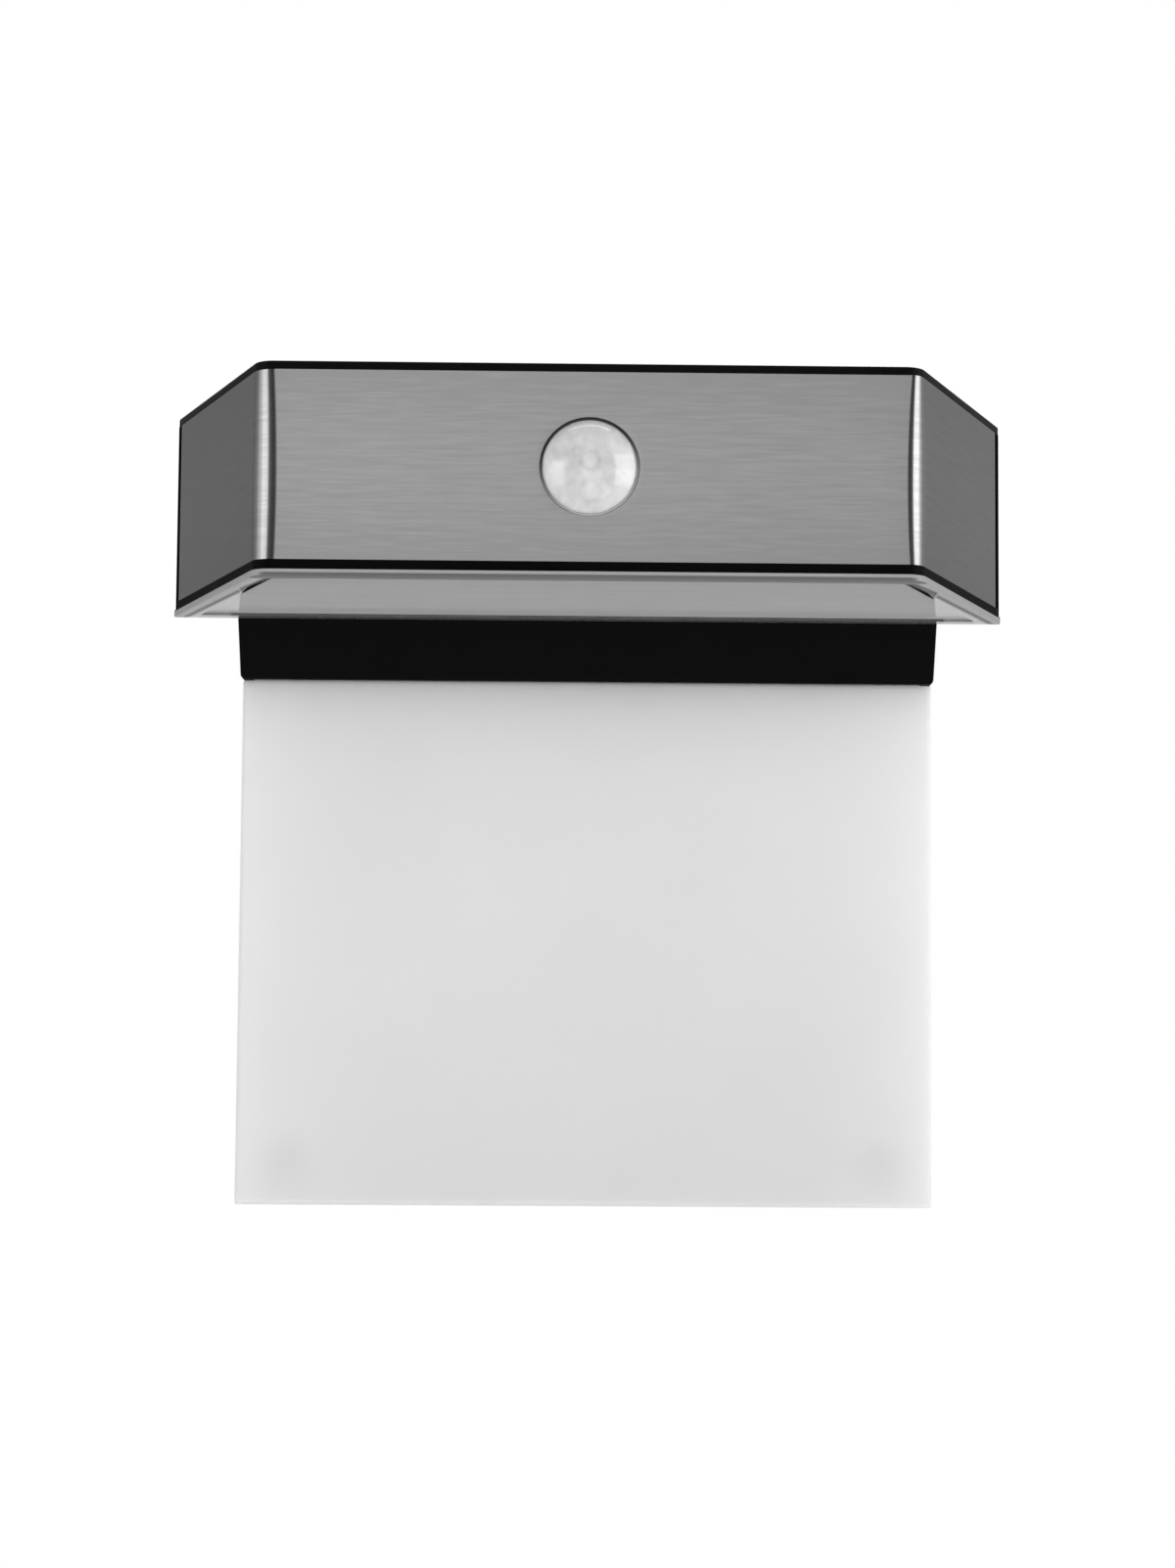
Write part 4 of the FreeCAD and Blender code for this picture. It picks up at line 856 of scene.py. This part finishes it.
frame_profile = [
    (0.06, steel_high),
    (0.0, steel_high + 0.08),
    (0.0, band_high - 0.35),
    (0.1, band_high - 0.1),
    (0.35, band_high),
    (pocket_inset - 0.3, band_high),
    (pocket_inset, band_high - 0.3),
    (pocket_inset, ledge_top),
    (opening_inset, ledge_top),
    (opening_inset, ledge_low),
    (flange_inset, ledge_low),
    (flange_inset, steel_high),
    (0.06, steel_high),
]
frame_skin = np.stack([head_ring(inset, level) for inset, level in frame_profile])
frame_black = moulded("frame_black", grey(0.002), grey(0.004), 0.4, 0.0006, 0.00002, gloss=0.05)
solar_frame = sewn("solar_frame", [frame_skin])
settle(solar_frame, "head", "black_plastic", "top_frame", frame_black)

pane, tree = new_material("solar_glass")
pebble = use_group(tree, moulded_skin, {"Vector": object_place(tree), "Grain Size": 0.0009})
finish_with(
    tree,
    {
        "Base Color": grey(0.95),
        "Roughness": 0.08,
        "IOR": 1.5,
        "Transmission Weight": 1.0,
        "Normal": bumped(tree, pebble.outputs["Height"], 0.00001, 0.4),
    },
)
dress(pane, "solar_glass")

cell_pitch = 0.01355
busbar_width = 0.0009
finger_pitch = 0.0016
finger_width = 0.00016
cell_blue, tree = new_material("solar_cell")
cell_place = object_place(tree)
cell_apart = parts_of(tree, cell_place)


def thin_lines(tree, value, line_pitch, line_width):
    """1 on lines of the given width at the given pitch, 0 between them."""
    place_in = maths(tree, "FRACT", maths(tree, "DIVIDE", value, line_pitch))
    off_line = maths(tree, "ABSOLUTE", maths(tree, "SUBTRACT", place_in, 0.5))
    return maths(tree, "LESS_THAN", off_line, line_width / line_pitch / 2)


fingers = thin_lines(tree, cell_apart["Y"], finger_pitch, finger_width)
busbars = thin_lines(tree, cell_apart["X"], cell_pitch, busbar_width)
silver = maths(tree, "MAXIMUM", fingers, busbars)
crystal = add_node(tree, "ShaderNodeTexVoronoi", {"Vector": cell_place, "Scale": 180.0})
cell_tone = blend_colours(
    tree, crystal.outputs["Distance"], (0.006, 0.009, 0.03, 1.0), (0.012, 0.02, 0.06, 1.0)
)
finish_with(
    tree,
    {
        "Base Color": blend_colours(tree, silver, cell_tone, grey(0.42)),
        "Roughness": spread(tree, silver, 0.25, 0.4),
        "Metallic": 0.0,
    },
)
dress(cell_blue, "solar_cells")
tray_white = moulded("tray_white", grey(0.78), grey(0.82), 0.4, 0.0008, 0.00001)
dress(tray_white, "reflector_tray", "solar_backing")


# Base plate: a clear acrylic cover under the head, over the white tray with its lights.
# Its rim stands down round a recessed middle whose skin is faintly etched, and a black seal
# shows where it meets the tub. What the clear rim refracts and reflects is painted on it by place.
plate_over = -0.3
base_high = -22.0
seal_low = -22.28
base_low = -23.7
recess_inset = 4.4
recess_level = -23.15
base_profile = [
    (20.0, base_high),
    (0.0, base_high),
    (plate_over + 0.1, base_high),
    (plate_over, base_high - 0.05),
    (plate_over, seal_low),
    (plate_over, base_low + 0.35),
    (plate_over + 0.1, base_low + 0.1),
    (plate_over + 0.35, base_low),
    (recess_inset - 0.08, base_low),
    (recess_inset, base_low + 0.08),
    (recess_inset, recess_level),
    (recess_inset + 0.05, recess_level),
    (20.0, recess_level),
]
plan_middle = (head_front + head_back) / 2
base_rings = np.stack([head_ring(inset, level) for inset, level in base_profile])
poles = [
    base_rings[:1] * 0 + np.array([0.0, plan_middle, level]) for level in (base_high, recess_level)
]
# The skins of the top, the seal, the rim, the step to the recess and the recessed middle.
base_skins = [
    np.concatenate([poles[0], base_rings[:2]]),
    base_rings[1:5],
    base_rings[4:9],
    base_rings[8:12],
    np.concatenate([base_rings[11:], poles[1]]),
]

# Places on the cover, in metres. A pair says where a step of the tone begins and where it ends.
beside_step = (0.0826, 0.0836)
behind_step = (-0.0295, -0.028)


def beside_bar(tree, place):
    """1 at the plate's rear edge beside the black bar, where the bright surroundings that show
    through are painted.
    """
    beside = smooth_step(tree, maths(tree, "ABSOLUTE", place["X"]), *beside_step)
    behind = smooth_step(tree, place["Y"], *behind_step)
    return times(tree, beside, behind)


side_start_step = (-0.0856, -0.0838)
side_inset_step = (0.005, 0.0046)
inner_step = (0.0002, 0.0009)
end_step = (-0.06, -0.05)
wall_step = (-0.0882, -0.0892)
wall_low_step = (-0.0229, -0.02305)
under_step = (-0.0235, -0.02365)
reflection_step = (-0.0006, 0.0003)
# The painted dark line and the painted reflection of the bar: how far in from the edge they lie,
# how that changes with the place, how fast the line fades, and where the reflection ends.
line_inset = 0.00134
line_lean_x = -0.0029
line_lean_y = -0.0187
line_fade = 0.0008
bar_reflection_end_x = 0.077
reflection_end_blur = 0.0002
reflection_clearance = 0.0006
reflection_inset = 0.0014
reflection_lean_x = -0.0055
reflection_taper = 0.18
# Painted tones of the front wall, the underside's front and back, its sides, the line and the
# bar's reflection.
wall_tone = 0.385
wall_low_tone = 0.145
end_tones = (0.15, 0.14)
beside_tone = 0.3
side_tones = (0.37, 0.52)
line_tone = 0.005
painted_reflection_tone = 0.006

rim_clear, tree = new_material("clear_rim")
rim_place = parts_of(tree, object_place(tree))
rim_x = rim_place["X"]
rim_y = rim_place["Y"]
outward = maths(tree, "ABSOLUTE", rim_x)
behind_way = times(tree, rim_y, math.sin(side_turn))
side_way = scaled(tree, outward, math.cos(side_turn), behind_way)
rim_inset = maths(tree, "SUBTRACT", side_reach * mm, side_way)
# Under the sides a thin dark line is painted as the seam's reflection, then as bright as the
# middle.
line_left = scaled(tree, rim_x, line_lean_x, line_inset)
line_place = scaled(tree, rim_y, line_lean_y, line_left)
past_line = maths(tree, "SUBTRACT", rim_inset, line_place)
clear_of_bar = smooth_step(tree, outward, bar_reflection_end_x, bar_reflection_end_x + reflection_clearance)
line_share = maths(tree, "DIVIDE", past_line, line_fade)
line_squared = times(tree, line_share, line_share)
line_depth = maths(tree, "EXPONENT", times(tree, line_squared, -1.0))
inner_part = times(tree, smooth_step(tree, past_line, *inner_step), clear_of_bar)
line_part = times(tree, line_depth, clear_of_bar)
side_under = spread(tree, line_part, spread(tree, inner_part, *side_tones), line_tone)
end_under = spread(
    tree,
    beside_bar(tree, rim_place),
    spread(tree, smooth_step(tree, rim_y, *end_step), *end_tones),
    beside_tone,
)
behind_corner = smooth_step(tree, rim_y, *side_start_step)
near_side = smooth_step(tree, rim_inset, *side_inset_step)
at_side = times(tree, behind_corner, near_side)
under_tone = spread(tree, at_side, end_under, side_under)
# The front wall is painted dark low down, and the underside has its own painted tones.
at_wall = smooth_step(tree, rim_y, *wall_step)
low_down = smooth_step(tree, rim_place["Z"], *wall_low_step)
front_low = times(tree, at_wall, low_down)
underneath = smooth_step(tree, rim_place["Z"], *under_step)
front_tone = spread(tree, front_low, wall_tone, wall_low_tone)
rim_tone = spread(tree, underneath, front_tone, under_tone)
# A painted reflection of the black bar: a dark wedge at each front corner of the rim.
before_end = maths(tree, "SUBTRACT", bar_reflection_end_x, outward)
reflection_limit = scaled(tree, before_end, reflection_taper, scaled(tree, rim_x, reflection_lean_x, reflection_inset))
past_reflection = smooth_step(tree, maths(tree, "SUBTRACT", rim_inset, reflection_limit), *reflection_step)
reflection_span = smooth_step(tree, outward, bar_reflection_end_x + reflection_end_blur, bar_reflection_end_x - reflection_end_blur)
reflection_side = times(tree, at_side, underneath)
painted_reflection_part = times(tree, past_reflection, times(tree, reflection_span, reflection_side))
finish_with(
    tree,
    {
        "Base Color": spread(tree, painted_reflection_part, rim_tone, painted_reflection_tone),
        "Roughness": 0.05,
        "Specular IOR Level": 0.03,
    },
)

# The step's clear wall is painted dark, and painted bright beside the bar where bright
# surroundings show through.
step_tones = (0.09, 0.12)
step_beside_tone = 0.26
clear_step, tree = new_material("clear_step")
step_place = object_place(tree)
step_marks = use_group(tree, handling, {"Vector": step_place, "Patch Size": 0.01})
see_through = beside_bar(tree, parts_of(tree, step_place))
step_tone = spread(tree, step_marks.outputs["Mark"], *step_tones)
finish_with(
    tree,
    {
        "Base Color": spread(tree, see_through, step_tone, step_beside_tone),
        "Roughness": 0.2,
        "Specular IOR Level": 0.1,
    },
)

# Painted light: the middle is brighter towards the back, where the lights sit, and right behind
# the front of the rim.
painted_rear_light = 0.15
painted_rear_light_span = (-0.085, -0.028)
painted_front_light = 0.15
painted_front_light_step = (-0.079, -0.0845)
etched, tree = new_material("etched_middle")
etched_place = object_place(tree)
etch_strokes = use_group(
    tree, brushing, {"Vector": etched_place, "Stroke Length": 0.04, "Stroke Width": 0.0015}
)
to_back = parts_of(tree, etched_place)["Y"]
etch_tone = spread(tree, etch_strokes.outputs["Tone"], 0.66, 0.72)
painted_rear_brightening = spread(tree, to_back, 1.0, 1.0 + painted_rear_light, *painted_rear_light_span)
near_front = smooth_step(tree, to_back, *painted_front_light_step)
painted_lights = scaled(tree, near_front, painted_front_light, painted_rear_brightening)
finish_with(
    tree,
    {
        "Base Color": times(tree, etch_tone, painted_lights),
        "Roughness": 0.07,
        "Specular IOR Level": 0.04,
        "Alpha": 0.7,
    },
)
base_cover = sewn("base_cover", base_skins, slots=[3, 0, 1, 2, 3])
settle(base_cover, "head", "clear_acrylic", "base_plate", tub_black, rim_clear, clear_step, etched)


# Motion sensor's window: a milky dome with a faint pattern of small lenses moulded in it.
# A black ring holds it from behind in the steel's hole, painted lighter on its lower right and
# darker on its upper left, as lit and shaded.
lens_radius = 10.25
lens_crown = 4.5
lens_rim_y = -88.5
lens_wall = 0.8
flange_front = -85.5
flange_back = -84.5
flange_radius = 12.8
ball_radius = (lens_radius**2 + lens_crown**2) / (2 * lens_crown)
ball_y = lens_rim_y - lens_crown + ball_radius
rim_lean = math.asin(lens_radius / ball_radius)
lathe_turn = np.linspace(0.0, 2.0 * np.pi, 241)


def lathed(profile):
    """A profile of (radius, depth) carried round the lens's axis, as (points, turns, 3)."""
    reach, depth = np.asarray(profile, float).T
    return np.stack(
        [
            reach[:, None] * np.cos(lathe_turn),
            np.broadcast_to(depth[:, None], (depth.size, lathe_turn.size)),
            reach[:, None] * np.sin(lathe_turn) + lens_z,
        ],
        axis=-1,
    )


def ball_profile(radius, lean):
    """Radius and depth on a ball round the dome's middle, at each lean from the lens's axis."""
    return np.stack([radius * np.sin(lean), ball_y - radius * np.cos(lean)], axis=-1)


dome = lathed(ball_profile(ball_radius, np.linspace(0.0, rim_lean, 72)))
inner_ball = ball_radius - lens_wall
inner_lean = math.asin((lens_radius - lens_wall) / inner_ball)
inner_dome = ball_profile(inner_ball, np.linspace(inner_lean, 0.0, 12))
sleeve_profile = np.array(
    [
        (lens_radius, lens_rim_y),
        (lens_radius, flange_front),
        (flange_radius, flange_front),
        (flange_radius, flange_back),
        (lens_radius - lens_wall, flange_back),
        inner_dome[0],
    ]
)
# Small lenses, one in the middle and six round it, each with a soft dim border: distance
# from the pattern's middle, turn in degrees, radius, and strength of the border.
small_lenses = [
    (0.0, 0, 2.0, 1.0),
    (6.4, 270, 2.1, 0.75),
    (6.4, 90, 2.0, 0.4),
    (6.4, 150, 2.0, 0.3),
    (6.4, 30, 2.0, 0.3),
    (6.4, 210, 2.0, 0.2),
    (6.4, 330, 2.0, 0.2),
]
lens_line_width = 0.5
pattern_middle = np.array([0.1, lens_z + 0.6])
across_dome = dome[..., [0, 2]] - pattern_middle
lens_line = np.zeros(across_dome.shape[:2])
for reach, turn, small_radius, strength in small_lenses:
    turned = math.radians(turn)
    middle = reach * np.array([math.cos(turned), math.sin(turned)])
    off_rim = np.linalg.norm(across_dome - middle, axis=-1) - small_radius
    lens_line = np.maximum(lens_line, strength * np.exp(-((off_rim / lens_line_width) ** 2)))
inner_sheet = lathed(inner_dome)
sleeve_sheet = lathed(sleeve_profile)
milky, tree = new_material("milky_lens")
patch_sockets = {"Vector": object_place(tree), "Patch Size": 0.003}
patch = use_group(tree, handling, patch_sockets).outputs["Mark"]
line_mask = add_node(tree, "ShaderNodeAttribute", attribute_name="lens_line").outputs["Fac"]
cloud = blend_colours(tree, patch, grey(0.67), grey(0.83))
patchy_line = times(tree, line_mask, spread(tree, patch, 0.6, 0.2))
finish_with(
    tree,
    {
        "Base Color": blend_colours(tree, patchy_line, cloud, grey(0.54)),
        "Roughness": spread(tree, patch, 0.09, 0.14),
        "Specular IOR Level": 1.0,
        "Subsurface Weight": 0.3,
        "Subsurface Radius": (1.0, 1.0, 1.0),
        "Subsurface Scale": 0.001,
    },
)
bare = [np.zeros(sheet.shape[:2]) for sheet in (sleeve_sheet, inner_sheet)]
lens_sheets = [dome, sleeve_sheet, inner_sheet]
lens = sewn("sensor_window", lens_sheets, values={"lens_line": [lens_line, *bare]})
settle(lens, "head", "milky_lens", "pir_lens", milky)

nose_radius = 10.72
nose_y = -88.75
shoulder_y = -88.1
bore_radius = 10.35
# Painted light and shade: the ring's colour is lighter towards its lower right and darker towards
# its upper left, turned by this angle.
lit_side_turn = math.radians(75.0)
lit_side_step = (-0.6, 1.0)
retainer_profile = [
    (bore_radius, flange_front),
    (bore_radius, nose_y + 0.1),
    (bore_radius + 0.1, nose_y),
    (nose_radius - 0.12, nose_y),
    (nose_radius, nose_y + 0.12),
    (nose_radius, shoulder_y),
    (flange_radius, shoulder_y),
    (flange_radius, flange_front),
    (bore_radius, flange_front),
]
ring_sheet = lathed(retainer_profile)
ring_turn = np.arctan2(ring_sheet[..., 2] - lens_z, ring_sheet[..., 0])
ring_side = np.cos(ring_turn + lit_side_turn)
ring_grey, tree = new_material("ring_grey")
lit_side_mask = add_node(tree, "ShaderNodeAttribute", attribute_name="painted_lit_side").outputs["Fac"]
painted_light_side = smooth_step(tree, lit_side_mask, *lit_side_step)
ring_skin = use_group(tree, moulded_skin, {"Vector": object_place(tree), "Grain Size": 0.0004})
finish_with(
    tree,
    {
        "Base Color": blend_colours(tree, painted_light_side, grey(0.05), grey(0.6)),
        "Roughness": 0.45,
        "Specular IOR Level": 0.1,
        "Normal": bumped(tree, ring_skin.outputs["Height"], 0.00001, 1.0),
    },
)
retainer = sewn("lens_ring", [ring_sheet], values={"painted_lit_side": [ring_side]})
settle(retainer, "head", "black_plastic", "lens_retainer", ring_grey)


# Sensor parts, battery and electronics inside the head: plated screws, green boards, sleeves.
dress(nickel, "carrier_screws", "frame_screws", "battery_cover_screws", "board_screws")
dress(nickel, "battery_contacts", "pir_sensor")
green = (0.01, 0.06, 0.03, 1.0)
light_green = (0.015, 0.08, 0.04, 1.0)
board_green = moulded("board_green", green, light_green, 0.35, 0.001, 0.00001)
dress(board_green, "sensor_board", "control_board")
dress(tub_black, "board_components", "mode_switch", "switch_plunger")
cover_black = moulded("cover_black", grey(0.007), grey(0.011), 0.38, 0.0006, 0.00003, gloss=0.35)
dress(cover_black, "battery_cover")
blue = (0.02, 0.09, 0.2, 1.0)
light_blue = (0.03, 0.12, 0.25, 1.0)
sleeve = moulded("battery_sleeve", blue, light_blue, 0.3, 0.001, 0.00001)
dress(sleeve, "battery_cells")
button_grey = moulded("button_grey", grey(0.2), grey(0.24), 0.45, 0.0006, 0.00002)
dress(button_grey, "mode_button")
